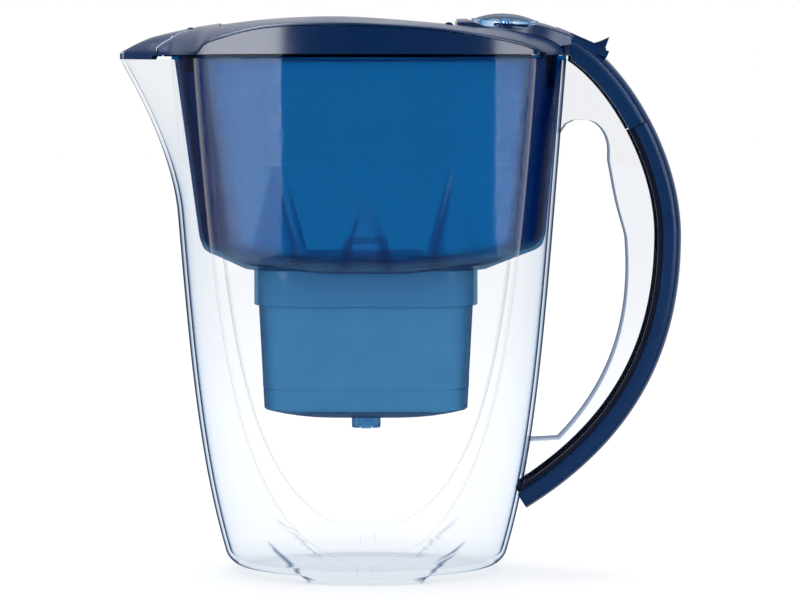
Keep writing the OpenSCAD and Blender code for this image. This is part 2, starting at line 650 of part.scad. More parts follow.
// Pull loop: an arch that stands across the middle of the cap, square below and round above
module pull_loop(z0) {
    r = loop_w / 2;
    side_h = loop_h + platform_h - 3.4;
    translate([0, loop_depth / 2, z0]) rotate([90, 0, 0]) linear_extrude(loop_depth) difference() {
        union() {
            translate([-r, 0]) square([2 * r, side_h]);
            translate([-r + 3.4, side_h]) square([2 * r - 6.8, 3.4]);
            for (x = [-1, 1]) translate([x * (r - 3.4), side_h]) circle(3.4);
        }
        translate([loop_leg - r, -1]) square([2 * (r - loop_leg), side_h + 1.2]);
    }
}

module cartridge_cap() {
    color(CARTRIDGE_BLUE) {
        difference() {
            union() {
                plan_slab(-(cart_gap + cap_lap), cap_z, cap_z + cap_t);
                plan_slab(neck_in, neck_z + 0.1, cap_z);
                translate([0, 0, cap_z]) linear_extrude(cap_t + platform_h)
                    round_rect(-platform_half_l, platform_half_l, platform_half_w, platform_half_w * 0.7);
            }
            plan_slab(neck_in + cart_wall, neck_z - 1, cap_z - 0.1);
            // Well that the pull loop stands in, and the inlet slots on either side of it
            translate([0, 0, cap_z + cap_t + platform_h / 2 + 0.5])
                cube([loop_w + 6, loop_depth + 9, platform_h + 1], center = true);
            for (side = [-1, 1]) translate([side * (platform_half_l - 6), 0, 0])
                slot_row(3.2, 3, 18, 1.4, 0, cap_z - 1, cap_t + platform_h + 2);
            for (side = [-1, 1]) translate([side * 39, 0, 0])
                slot_row(3.2, 4, 22, 1.4, 0, cap_z - 1, cap_t + 2);
        }
        pull_loop(cap_z + cap_t - 0.4);
    }
}

// ---- lid ----

lid_z = flange_z + flange_t + lid_gap;
roof_rear_x = rim_half_l - 0.8;
roof_rows = 34;
roof_columns = 16;
// Heights of the roof's middle line over the lid's lower edge, front to rear
crown_line = [[-spout_reach, 0.08 * crown_h], [8 - spout_reach, 0.3 * crown_h],
    [16 - spout_reach, 0.47 * crown_h], [13 - rim_half_l, 0.69 * crown_h],
    [28 - rim_half_l, 0.81 * crown_h], [57 - rim_half_l, 0.96 * crown_h], [-13, crown_h],
    [10, 0.94 * crown_h], [rim_half_l - 57, 0.81 * crown_h], [rim_half_l - 27, 0.67 * crown_h],
    [rim_half_l - 11, 0.52 * crown_h], [rim_half_l, 0.31 * crown_h]];
// Heights of the roof's long edges: an arch over each side panel, down to the rim at both ends
edge_line = [[-spout_reach, 1.3], [11 - rim_half_l, 1.3], [17.5 - rim_half_l, 1.4], [21 - rim_half_l, 5.2],
    [27 - rim_half_l, 7.8], [45 - rim_half_l, 12.4], [63 - rim_half_l, 14.1], [-12, 14.4], [8, 13.7],
    [rim_half_l - 61, 11.8], [rim_half_l - 39, 8.6], [rim_half_l - 24, 5.6], [rim_half_l - 15, 2.6],
    [rim_half_l - 10, 1.4], [rim_half_l, 1.3]];

// Half width of the lid at x: the jug's plan at the rim, with the spout's beak
function lid_half_w(x) = let (
        oval = rim_half_w * sqrt(max(1 - x * x / (rim_half_l * rim_half_l), 0)),
        panel = panel_rim_w - panel_r + sqrt(panel_r * panel_r - x * x),
        root_x = rim_half_l * sqrt(1 - pow(spout_half_w / rim_half_w, 2)),
        beak_w = spout_half_w * (spout_reach + x) / (spout_reach - root_x))
    max(min(oval, panel), x < -root_x ? beak_w : 0, 1.5);
function roof_z(x, y) = lid_z + mix(height_at(crown_line, x), height_at(edge_line, x),
    pow(min(abs(y) / lid_half_w(x), 1), 2.5));
// Lower edge of the lid: on the reservoir's flange, and close over the jug's rim round the spout
function lid_low(x) = x < flap_seam_x - 0.5 ? rim_z + 0.3 : lid_z;
function roof_under_z(x, y) = abs(y) > 0.99 * lid_half_w(x) && height_at(edge_line, x) < 1.6 ? lid_low(x)
    : max(roof_z(x, y) - roof_t, lid_low(x));

module roof(drop = 0) {
    xs = [for (i = [0 : roof_rows]) mix(-spout_reach, roof_rear_x, (1 - cos(180 * i / roof_rows)) / 2)];
    us = [for (i = [0 : roof_columns]) 1 - 2 * i / roof_columns];
    sheet([for (x = xs) [for (u = us) let (y = u * lid_half_w(x)) [x, y, roof_z(x, y) - drop]]],
        [for (x = xs) [for (u = us) let (y = u * lid_half_w(x)) [x, y, roof_under_z(x, y) - drop]]]);
}

// Hinge lines, just under the roof
flip_drop = 0.6;
flip_axis = [flip_hinge_x, roof_z(flip_hinge_x, 0) - flip_drop - knuckle_r + 0.1];
flap_axis = [flap_hinge_x, roof_z(flap_hinge_x, 0) - knuckle_r + 0.1];
flip_boss_y = flip_half_w - knuckle_l - 1;
flap_knuckle_y = knuckle_l / 2 + 0.3;
flap_end_y = flap_knuckle_y + knuckle_l - 1.5;
flip_knuckle_y = flip_boss_y - knuckle_l - 0.3;
housing_front_x = flip_hinge_x + 4;

// Outline of the flip panel in plan, or of its opening when grown by gap
module flip_plan(gap, rear_x) {
    translate([0, 0, lid_z - 10]) linear_extrude(crown_h + 30) union() {
        round_rect(flip_front_x - gap, 0, flip_half_w + gap, flip_corner_r + gap);
        translate([-flip_corner_r - gap - 1, -flip_half_w - gap])
            square([rear_x + flip_corner_r + gap + 1, 2 * (flip_half_w + gap)]);
    }
}

// Space that the spout flap takes in plan: a straight strip, and all of the beak, grown by gap
module flap_space(gap) {
    translate([-spout_reach - 10, -flap_half_w - gap, lid_z - 5])
        cube([spout_reach + 10 + flap_hinge_x + 0.6 + gap, 2 * (flap_half_w + gap), crown_h + 10]);
    translate([-spout_reach - 10, -rim_half_w, lid_z - 5])
        cube([spout_reach + 10 + flap_seam_x + gap, 2 * rim_half_w, crown_h + 10]);
}

// Knuckle of a hinge: a barrel with its bore, from y0 to y0 + length
module knuckle(axis, y0, length, bore_r) {
    difference() {
        translate([axis.x, y0 + length, axis.y]) rotate([90, 0, 0]) cylinder(r = knuckle_r, h = length);
        translate([axis.x, y0 + length + 1, axis.y])
            rotate([90, 0, 0]) cylinder(r = bore_r, h = length + 2);
    }
}

module pair_y() {
    children();
    mirror([0, 1, 0]) children();
}

// ---- thumb slide, push rod and dial: their places ----

flip_open = 70;
rod_travel = 0.8 * crank_l * flip_open * PI / 180;
slide_travel = rod_travel / cos(slide_angle);
rod_z = flip_axis.y - crank_l;
rod_front_x = flip_hinge_x + 0.9;
rod_rear_x = slide_front_x - 0.2;
leg_t = 2.4;
leg_half_w = 3.5;
slide_play = 0.4;
dial_z = rim_z + 18.7;
dial_floor = -5.3;
dial_cup_t = 1.4;
dial_pocket_r = dial_body_r + 0.6;
scoop_r = 36;
scoop_floor_z = dial_z - 4.7;

// Frame of the thumb slide's track: origin at its plate's front top edge, +X down the slope
module on_track() {
    translate([slide_top.x, 0, slide_top.y]) rotate([0, slide_angle, 0]) children();
}

// Frame of the dial: origin at the middle of the knob's rim, +Z along its axis
module on_dial() {
    translate([dial_x, 0, dial_z]) rotate([0, dial_tilt, 0]) children();
}

tab_rear = slide_l + tab_l;
tab_top_x = slide_l + tab_l * 0.63;

module slide_plan(gap, front) {
    translate([front + slide_half_w, 0]) circle(slide_half_w + gap);
    translate([front + slide_half_w, -slide_half_w - gap])
        square([tab_rear + gap - front - slide_half_w, 2 * (slide_half_w + gap)]);
}

// Recess that the thumb slide's plate runs in, and the slot for its leg and the push rod
module slide_space() {
    on_track() translate([0, 0, -slide_t - 0.3]) linear_extrude(20)
        slide_plan(slide_play, -slide_travel - slide_play);
    translate([rod_rear_x - rod_travel - 3, -leg_half_w - slide_play, lid_z - 6])
        cube([rod_travel + leg_t + 3 + 2 * slide_play, 2 * (leg_half_w + slide_play),
            slide_top.y - lid_z + 6.2]);
}

module dial_scoop() {
    cross_bar([dial_x, scoop_floor_z + scoop_r], scoop_r, 3 * rim_half_w);
}

// ---- lid pieces ----

module lid_frame() {
    rib_depth = 6;
    rib_w = 4.5;
    rib_y = flap_half_w + 1.5;
    rib_gap = 0.5;
    rib_z = rim_z - rib_depth;
    inset = jug_wall + res_gap + res_wall;
    // Inside of the reservoir's front wall at the ribs, and of its rear wall at the tongues
    rib_x = rib_gap - (oval_l(rib_z) - inset - channel(rib_z))
        * sqrt(1 - pow((rib_y + rib_w) / (oval_w(rib_z) - inset), 2));
    tongue_x = rim_half_l - inset - 5.3;
    color(NAVY) {
        difference() {
            roof();
            flap_space(seam);
            flip_plan(seam, housing_front_x - 0.3);
            cross_bar(flap_axis, knuckle_r + 0.4, 2 * (flap_half_w + seam));
            slide_space();
            on_dial() translate([0, 0, -20]) cylinder(r = dial_pocket_r + dial_cup_t + 0.3, h = 30);
            dial_scoop();
        }
        // Bosses that carry the flip panel's hinge pin, on webs from the frame's cross bar
        pair_y() {
            knuckle(flip_axis, flip_boss_y, knuckle_l, pin_r);
            translate([flip_axis.x + knuckle_r - 0.8, flip_boss_y, flip_axis.y - knuckle_r])
                cube([housing_front_x - flip_axis.x + 1, knuckle_l, knuckle_r + 0.6]);
        }
        // Middle knuckle of the spout flap's hinge, and the window that guides the push rod
        knuckle(flap_axis, -knuckle_l / 2, knuckle_l, pin_r);
        translate([flap_axis.x + knuckle_r - 0.8, -knuckle_l / 2, flap_axis.y - 1.2])
            cube([3.4, knuckle_l, 3.3]);
        difference() {
            translate([housing_front_x + 1, -rod_half_w - 2.5, rod_z - rod_t / 2 - 1.8])
                cube([3, 2 * rod_half_w + 5, roof_z(housing_front_x + 4, 0) - roof_t + 0.4 - rod_z
                    + rod_t / 2 + 1.8]);
            translate([housing_front_x, -rod_half_w - 0.1, rod_z - rod_t / 2 - 0.1])
                cube([5, 2 * rod_half_w + 0.2, rod_t + 0.2]);
        }
        // Tongue behind the reservoir's rear wall rim
        pair_y() translate([tongue_x, leg_half_w + 0.6, rim_z - 13]) cube([3, 5, 21.8]);
        // Ribs that locate the lid at the reservoir's front wall
        pair_y() translate([rib_x, rib_y, rib_z])
            cube([2.5, rib_w, roof_z(rib_x, rib_y + rib_w) - roof_t + 0.6 - rib_z]);
    }
}

module side_panels() {
    panel_front_x = 20.5 - rim_half_l;
    panel_rear_x = rim_half_l - 19;
    panel_gap = 0.5;
    panel_t = 2;
    rows = 24;
    xs = [for (i = [0 : rows]) mix(panel_front_x, panel_rear_x, i / rows)];
    function panel_point(x, inset, top) = let (y = lid_half_w(x) - roof_lap - inset)
        [x, -y, top ? roof_under_z(x, y) - panel_gap : lid_z];
    color(NAVY) pair_y() sheet(
        [for (x = xs) [panel_point(x, 0, true), panel_point(x, 0, false)]],
        [for (x = xs) [panel_point(x, panel_t, true), panel_point(x, panel_t, false)]]);
}

// Heights of the housing's middle line over the lid's lower edge, and its half widths
housing_line = [[housing_front_x, 17.6], [dial_x - 15.3, 17.6], [dial_x + 0.7, 17.2],
    [slide_front_x - 9, 16.1], [tail_start_x, tail_start.y - lid_z + 0.1]];
housing_sides = [[housing_front_x, 30], [dial_x - 7.3, 28.5], [dial_x + 7.7, 25],
    [slide_front_x - 4, 17.5], [tail_start_x, grip_half_w]];

module rear_housing() {
    rows = 14;
    xs = [for (i = [0 : rows]) mix(housing_front_x, tail_start_x, i / rows)];
    us = [for (i = [0 : 8]) sin(90 - 22.5 * i)];
    cup_r = dial_pocket_r + dial_cup_t;
    color(NAVY) difference() {
        union() {
            sheet([for (x = xs) [for (u = us) [x, u * height_at(housing_sides, x),
                    lid_z + height_at(housing_line, x) - 2.2 * pow(abs(u), 4)]]],
                [for (x = xs) [for (u = us) let (y = u * height_at(housing_sides, x))
                    [x, y, roof_z(min(x, roof_rear_x - 3), y) + 0.15]]]);
            on_dial() translate([0, 0, dial_floor - dial_cup_t]) cylinder(r = cup_r, h = 5);
        }
        dial_scoop();
        on_dial() translate([0, 0, dial_floor]) cylinder(r = dial_pocket_r, h = 20);
        on_dial() translate([0, 0, -1.6]) cylinder(r = dial_r + 0.5, h = 20);
        on_dial() translate([0, 0, dial_floor - 5]) cylinder(r = rivet_r, h = 20);
        slide_space();
    }
}

module lid_tail() {
    bed_front = tail_start_x - slide_front_x + 2.6;
    bed_half_w = grip_half_w - cover_wall + 0.3;
    color(NAVY) difference() {
        union() {
            difference() {
                c_shell(tail_stations, 0, band_depth, grip_half_w, cover_wall);
                translate([0, -rim_half_w, rim_z - 50]) cube([tail_start_x, 2 * rim_half_w, 100]);
            }
            // Bed under the thumb slide's recess
            on_track() translate([bed_front, -bed_half_w, -slide_t - 0.3 - cover_wall])
                cube([tab_rear + 1.5 - bed_front, 2 * bed_half_w, cover_wall + 1.2]);
        }
        slide_space();
    }
}

module flip_lid() {
    color(NAVY) {
        difference() {
            intersection() {
                roof(flip_drop);
                flip_plan(0, flip_hinge_x + 2.2);
            }
            pair_y() translate([flip_axis.x - knuckle_r - 0.4, flip_boss_y - 0.3, lid_z])
                cube([10, knuckle_l + 2, crown_h + 5]);
            cross_bar(flip_axis, pin_r + pin_play, 3 * flip_half_w);
        }
        pair_y() knuckle(flip_axis, flip_knuckle_y, knuckle_l, pin_r + pin_play);
        // Middle knuckle with the crank that the push rod presses on
        difference() {
            union() {
                knuckle(flip_axis, -knuckle_l / 2, knuckle_l, pin_r + pin_play);
                translate([flip_axis.x - 1.2, -rod_half_w, flip_axis.y - crank_l - 0.8])
                    cube([1.6, 2 * rod_half_w, crank_l]);
            }
            cross_bar(flip_axis, pin_r + pin_play, 3 * knuckle_l);
        }
    }
}

module flip_hinge_pin() {
    color("silver") cross_bar(flip_axis, pin_r, 2 * (flip_boss_y + knuckle_l));
}

module spout_flap() {
    color(NAVY) difference() {
        union() {
            difference() {
                intersection() {
                    roof();
                    flap_space(0);
                }
                translate([flap_axis.x - knuckle_r - 0.4, -flap_knuckle_y, lid_z])
                    cube([8, 2 * flap_knuckle_y, crown_h]);
            }
            pair_y() translate([flap_axis.x, flap_end_y, flap_axis.y])
                rotate([90, 0, 0]) cylinder(r = knuckle_r, h = knuckle_l - 1.5);
            pair_y() translate([flap_axis.x - knuckle_r - 1.4, flap_knuckle_y, flap_axis.y - 1.2])
                cube([2.4, knuckle_l - 1.5, 2]);
        }
        cross_bar(flap_axis, pin_r + pin_play, 10 * knuckle_l);
    }
}

module spout_hinge_pin() {
    color("silver") cross_bar(flap_axis, pin_r, 2 * flap_end_y);
}

module thumb_slide() {
    color(NAVY) {
        on_track() {
            translate([0, 0, -slide_t]) linear_extrude(slide_t) slide_plan(0, 0);
            translate([0, slide_half_w, 0]) rotate([90, 0, 0]) linear_extrude(2 * slide_half_w)
                polygon([[slide_l, -0.5], [slide_l, 0], [tab_top_x, tab_h], [tab_rear - 0.6, -0.5]]);
        }
        translate([rod_rear_x + slide_play, -leg_half_w, rod_z - rod_t / 2 - 0.5])
            cube([leg_t, 2 * leg_half_w, slide_top.y - slide_t - rod_z + rod_t / 2 + 0.3]);
    }
}

module push_rod() {
    color(DARK) translate([rod_front_x, -rod_half_w, rod_z - rod_t / 2])
        cube([rod_rear_x - rod_front_x, 2 * rod_half_w, rod_t]);
}

// ---- dial ----

dome_edge = 15;
dome_r = (dome_edge * dome_edge + dome_h * dome_h) / (2 * dome_h);
glass_t = 1.2;

module dial_base() {
    color("white") on_dial() difference() {
        translate([0, 0, dial_floor]) cylinder(r = dial_body_r - 0.2, h = 1.2);
        translate([0, 0, dial_floor - 1]) cylinder(r = rivet_r, h = 4);
        for (i = [0 : 11]) rotate([0, 0, 30 * i]) translate([dial_body_r - 2.6, 0, dial_floor + 1])
            cube([2.6, 0.6, 0.6], center = true);
    }
}

module dial_knob() {
    color(CLEAR) on_dial() difference() {
        union() {
            translate([0, 0, -3.8]) cylinder(r = dial_body_r, h = 4.2);
            translate([0, 0, -0.6]) cylinder(r = dial_r, h = 1.2);
            intersection() {
                translate([0, 0, 0.6 + dome_h - dome_r]) sphere(r = dome_r);
                cylinder(r = dome_edge, h = dome_h + 2);
            }
        }
        difference() {
            union() {
                translate([0, 0, -5]) cylinder(r = dial_body_r - glass_t, h = 5.2);
                intersection() {
                    translate([0, 0, 0.6 + dome_h - dome_r]) sphere(r = dome_r - glass_t);
                    cylinder(r = dial_body_r - glass_t, h = dome_h + 2);
                }
            }
            translate([0, 0, -3]) cylinder(r = rivet_r + 1.6, h = 8);
        }
        translate([0, 0, -4]) cylinder(r = rivet_r + pin_play, h = 4.4);
    }
}

module dial_pointer() {
    color(DARK) on_dial() difference() {
        union() {
            translate([0, 0, -2.6]) cylinder(r = rivet_r + 3.4, h = 1.4);
            translate([0, -1.3, -2.6]) cube([dial_body_r - glass_t - 1, 2.6, 1.4]);
        }
        translate([0, 0, -4]) cylinder(r = rivet_r + 1.6, h = 8);
    }
}

module dial_rivet() {
    color("silver") on_dial() {
        translate([0, 0, dial_floor - dial_cup_t]) cylinder(r = rivet_r, h = -dial_floor + dial_cup_t);
    }
}

// Draws its pieces in the part's own frame
module placed() {
    translate([shift_x, 0, 0]) children();
}

placed() jug();
placed() handle_bow();
placed() grip_liner();
placed() grip_cover();
placed() reservoir();
placed() socket_seal();
placed() cartridge_body();
placed() cartridge_cap();
placed() inlet_screen();
placed() media_bed();
placed() outlet_screen();
placed() outlet_nozzle();
placed() lid_frame();
placed() side_panels();
placed() rear_housing();
placed() lid_tail();
placed() flip_lid();
placed() flip_hinge_pin();
placed() spout_flap();
placed() spout_hinge_pin();
placed() thumb_slide();
placed() push_rod();
placed() dial_base();
placed() dial_pointer();
placed() dial_knob();
placed() dial_rivet();
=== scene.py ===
import json
from math import asin, ceil, copysign, cos, dist, hypot, pi, radians, sin, sqrt, tan

import bmesh
import bpy
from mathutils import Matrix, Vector
from mathutils.geometry import delaunay_2d_cdt


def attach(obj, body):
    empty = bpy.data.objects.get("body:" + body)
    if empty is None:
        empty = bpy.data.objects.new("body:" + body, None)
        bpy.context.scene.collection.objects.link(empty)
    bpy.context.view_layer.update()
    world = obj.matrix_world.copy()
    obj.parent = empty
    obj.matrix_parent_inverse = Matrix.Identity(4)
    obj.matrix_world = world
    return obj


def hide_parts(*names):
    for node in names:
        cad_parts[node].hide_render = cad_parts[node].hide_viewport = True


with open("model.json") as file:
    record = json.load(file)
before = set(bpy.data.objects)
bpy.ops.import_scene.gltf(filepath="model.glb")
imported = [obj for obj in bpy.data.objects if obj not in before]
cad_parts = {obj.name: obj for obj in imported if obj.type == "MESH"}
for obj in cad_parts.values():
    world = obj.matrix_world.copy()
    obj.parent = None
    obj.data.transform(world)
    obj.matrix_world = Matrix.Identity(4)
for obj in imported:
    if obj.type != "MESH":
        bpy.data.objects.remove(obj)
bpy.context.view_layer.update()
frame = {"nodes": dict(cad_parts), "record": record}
nodes = frame["nodes"]

# --- The form, in millimetres about the jug's axis. MM and SHIFT turn it into the part's frame. ---
MM = 0.001
RIM_Z, RIM_L, RIM_W = 248.5, 97.0, 72.0
END_TAPER, BASE_TUCK = 18.8, 12.4
PANEL_RIM, PANEL_BASE, PANEL_R = 58.0, 51.3, 190.0
JUG_WALL, FLOOR_T, BASE_R = 2.0, 3.0, 7.0
FOOT_DROP, FOOT_L, FOOT_W, FOOT_H = 2.5, 50.0, 8.0, 18.0
FOOT_FLARE = 19.0
SPOUT_REACH, SPOUT_HALF, SPOUT_Z, SPOUT_CURVE, BLUNT = 119.0, 20.5, 175.0, 1.7, 0.16
RES_WALL, RES_GAP, CHAN_TOP, CHAN_LOW = 1.8, 0.5, 2.0, 6.6
RES_Z, RES_RISE, RES_R, FLANGE_T, LID_GAP = 147.0, 12.0, 4.0, 1.5, 0.2
FLUTE_PITCH, FLUTE_W, FLUTE_H, FLUTE_MID, FLUTE_D = 42.0, 27.0, 47.0, 7.0, 7.0
SOCK_L, SOCK_W, SOCK_R, SOCK_H, SOCK_T = 54.0, 30.0, 21.0, 17.5, 1.8
CROWN = 19.4
GRIP_REACH, GRIP_Z, GRIP_HALF, GRIP_T = 153.0, 163.0, 13.5, 9.5
SHIFT = (SPOUT_REACH - GRIP_REACH) / 2
SHARP = 32


def mix(a, b, t):
    return a + (b - a) * t


def spread(a, b, n):
    """n + 1 values from a to b."""
    return [mix(a, b, i / n) for i in range(n + 1)]


def put(p):
    """A point in millimetres about the jug's axis, in the part's frame in metres."""
    return ((p[0] + SHIFT) * MM, p[1] * MM, p[2] * MM)


def cos_sin(degrees):
    return cos(radians(degrees)), sin(radians(degrees))


# --- Mesh builders ---
def add(name, mesh):
    obj = bpy.data.objects.new(name, mesh)
    bpy.context.scene.collection.objects.link(obj)
    return obj


def mesh_of(bm, name):
    mesh = bpy.data.meshes.new(name)
    bm.to_mesh(mesh)
    bm.free()
    return mesh


def finish_mesh(obj, sharp=SHARP, merge=0.00001):
    """Merges doubles, turns the faces outwards, shades smooth and keeps edges over an angle sharp."""
    bm = bmesh.new()
    bm.from_mesh(obj.data)
    bmesh.ops.remove_doubles(bm, verts=bm.verts, dist=merge)
    bmesh.ops.recalc_face_normals(bm, faces=bm.faces)
    limit = radians(sharp)
    for e in bm.edges:
        if len(e.link_faces) == 2:
            e.smooth = e.calc_face_angle(0) < limit
    for f in bm.faces:
        f.smooth = True
    bm.to_mesh(obj.data)
    bm.free()
    return obj


def new_object(name, verts, faces, sharp=SHARP, marks=None):
    """A mesh of points in millimetres; marks holds one value for each point under each name."""
    mesh = bpy.data.meshes.new(name)
    mesh.from_pydata([put(v) for v in verts], [], faces)
    mesh.validate()
    for key, values in (marks or {}).items():
        mesh.attributes.new(key, "FLOAT", "POINT").data.foreach_set("value", values)
    return finish_mesh(add(name, mesh), sharp)


def ring_solid(name, rings, wrap=False, sharp=SHARP, paint=None):
    """A solid through a stack of rings; wrap joins the last to the first, else both ends are capped.

    paint holds, for each name of a mark on the mesh, its value on whole rings or round a ring."""
    n, m = len(rings[0]), len(rings)
    faces = []
    for j in range(m if wrap else m - 1):
        a, b = j * n, ((j + 1) % m) * n
        faces += [(a + i, a + (i + 1) % n, b + (i + 1) % n, b + i) for i in range(n)]
    if not wrap:
        faces += [tuple(range(n - 1, -1, -1)), tuple((m - 1) * n + i for i in range(n))]
    marks = {}
    for key, chosen in (paint or {}).items():
        marks[key] = [0.0] * (n * m)
        for j, values in chosen.items():
            j %= m
            marks[key][j * n:(j + 1) * n] = values if isinstance(values, list) else [values] * n
    return new_object(name, [p for r in rings for p in r], faces, sharp, marks)


def sheet_solid(name, top, under, sharp=32):
    """A thick sheet between two grids of points, with its four borders closed."""
    m, n = len(top), len(top[0])
    u = m * n
    faces = []
    for j in range(m - 1):
        for i in range(n - 1):
            a, b = j * n + i, (j + 1) * n + i
            faces += [(a, b, b + 1, a + 1), (u + a, u + a + 1, u + b + 1, u + b)]
    for i in range(n - 1):
        a, b = i, (m - 1) * n + i
        faces += [(a, a + 1, u + a + 1, u + a), (b, u + b, u + b + 1, b + 1)]
    for j in range(m - 1):
        a, b = j * n, j * n + n - 1
        faces += [(a, u + a, u + a + n, a + n), (b, b + n, u + b + n, u + b)]
    return new_object(name, [p for g in (top, under) for r in g for p in r], faces, sharp)


def prism(name, outline, y0, y1, sharp=32):
    """An outline in the XZ plane drawn out from y0 to y1."""
    n = len(outline)
    verts = [(x, y, z) for y in (y0, y1) for x, z in outline]
    faces = [tuple(range(n)), tuple(range(2 * n - 1, n - 1, -1))]
    faces += [(i, n + i, n + (i + 1) % n, (i + 1) % n) for i in range(n)]
    return new_object(name, verts, faces, sharp)


def upright(name, outline, z0, z1, sharp=32):
    """An outline in plan drawn up from z0 to z1."""
    n = len(outline)
    verts = [(x, y, z) for z in (z0, z1) for x, y in outline]
    faces = [tuple(range(n - 1, -1, -1)), tuple(range(n, 2 * n))]
    faces += [(i, (i + 1) % n, n + (i + 1) % n, n + i) for i in range(n)]
    return new_object(name, verts, faces, sharp)


def apply_modifiers(obj):
    bpy.context.view_layer.update()
    dg = bpy.context.evaluated_depsgraph_get()
    mesh = bpy.data.meshes.new_from_object(obj.evaluated_get(dg))
    obj.modifiers.clear()
    obj.data = mesh


def boolean(obj, cutter, how="DIFFERENCE"):
    mod = obj.modifiers.new("cut", "BOOLEAN")
    mod.operation, mod.solver, mod.object = how, "EXACT", cutter
    apply_modifiers(obj)


def drop(*objs):
    for o in objs:
        bpy.data.objects.remove(o)


def bevel(obj, width, segments=2, angle=35):
    mod = obj.modifiers.new("edge", "BEVEL")
    mod.width, mod.segments, mod.limit_method = width * MM, segments, "ANGLE"
    mod.angle_limit = radians(angle)
    mod.use_clamp_overlap = True
    apply_modifiers(obj)


def join(name, objs):
    """Several meshes as one object."""
    bm = bmesh.new()
    for o in objs:
        bm.from_mesh(o.data)
    drop(*objs)
    return add(name, mesh_of(bm, name))


# --- Curves of the form ---
def below(z):
    return 1 - z / RIM_Z


def oval_l(z):
    b = below(z)
    return RIM_L - END_TAPER * b - BASE_TUCK * b ** 5 if b > 0 else RIM_L - END_TAPER * b


def oval_w(z):
    return oval_l(z) * RIM_W / RIM_L


def panel_w(z):
    return PANEL_BASE + (PANEL_RIM - PANEL_BASE) * (z / RIM_Z) ** 2.2


def spout_out(z):
    if z <= SPOUT_Z:
        return 0.0
    return (SPOUT_REACH - RIM_L) * ((z - SPOUT_Z) / (RIM_Z - SPOUT_Z)) ** SPOUT_CURVE


def beak(y):
    return max(0.0, 1 - hypot(y / SPOUT_HALF, BLUNT)) / (1 - BLUNT)


def crease_angle(l, w, p):
    k, c = l * l / (w * w), p - PANEL_R
    y = (-c - sqrt(max(c * c - (k - 1) * (PANEL_R ** 2 - l * l - c * c), 0))) / (k - 1)
    return asin(min(y / w, sin(radians(87))))


def section(lr, ll, w, p, s, caps, panels):
    """Half plan from the rear round to the spout, then mirrored."""
    ar, al = crease_angle(lr, w, p), crease_angle(ll, w, p)
    xr, xl = lr * cos(ar), -ll * cos(al)
    turn = [1 - (1 - i / caps) ** 1.5 for i in range(caps + 1)]
    half = [(lr * cos(ar * t), w * sin(ar * t)) for t in turn]
    cr, cl = sqrt(PANEL_R ** 2 - xr * xr), sqrt(PANEL_R ** 2 - xl * xl)
    for i in range(1, panels):
        t = i / panels
        x = mix(xr, xl, t)
        base = mix(w * sin(ar) - cr, w * sin(al) - cl, t)
        half.append((x, base + sqrt(PANEL_R ** 2 - x * x)))
    for i in range(caps + 1):
        a = al * turn[caps - i]
        y = w * sin(a)
        half.append((-ll * cos(a) - s * beak(y), y))
    return half + [(x, -y) for x, y in half[-2:0:-1]]


def level(plan, z):
    return [(x, y, z) for x, y in plan]


def bez(p, t):
    u = 1 - t
    w = (u ** 3, 3 * t * u * u, 3 * t * t * u, t ** 3)
    return tuple(sum(w[i] * p[i][k] for i in range(4)) for k in range(2))


def bez_slope(p, t):
    u = 1 - t
    w = (3 * u * u, 6 * t * u, 3 * t * t)
    return tuple(sum(w[i] * (p[i + 1][k] - p[i][k]) for i in range(3)) for k in range(2))


def inwards(p, t, depth):
    x, z = bez(p, t)
    dx, dz = bez_slope(p, t)
    n = hypot(dx, dz)
    return (x + depth * dz / n, z - depth * dx / n)


def height_at(line, x):
    """Height on a smooth line through points sorted along x."""
    i = 0
    while i < len(line) - 2 and x >= line[i + 1][0]:
        i += 1

    def slope(k):
        a, b = max(k - 1, 0), min(k + 1, len(line) - 1)
        return (line[b][1] - line[a][1]) / (line[b][0] - line[a][0])
    w = line[i + 1][0] - line[i][0]
    t = min(max((x - line[i][0]) / w, 0), 1)
    t2, t3 = t * t, t * t * t
    return (line[i][1] * (2 * t3 - 3 * t2 + 1) + slope(i) * w * (t3 - 2 * t2 + t)
            + line[i + 1][1] * (3 * t2 - 2 * t3) + slope(i + 1) * w * (t3 - t2))


# --- Jug ---
JUG_CAPS, JUG_PANELS, JUG_ROWS = 36, 56, 44
# How dark the painted shade on the flanks of the feet is, on the near side and on the far side
NEAR_FLANK_SHADE, FAR_FLANK_SHADE = 0.95, 0.3


def on_creases(n, caps, panels):
    """Marks at the four upright edges where the ends meet the faces, for a painted highlight line."""
    at = {caps, caps + panels, n - caps, n - caps - panels}
    return [1.0 if i in at else 0.0 for i in range(n)]


def jug_plan(z, inset):
    return section(oval_l(z) - inset, oval_l(z) - inset, oval_w(z) - inset, panel_w(z) - inset,
                   spout_out(z), JUG_CAPS, JUG_PANELS)


def foot_share(x, z):
    edge = FOOT_L / 2 + FOOT_FLARE * z / FOOT_H
    return 0.0 if z > FOOT_H else min(max((edge - abs(x)) / 2.5 + 1, 0), 1)


def base_ring(z, inset, fall):
    full, tucked = jug_plan(z, 0), jug_plan(z, inset)
    ring = []
    for q, p in zip(full, tucked):
        s = foot_share(q[0], z)
        ring.append((mix(p[0], q[0], s), mix(p[1], q[1], s), z - s * fall))
    return ring


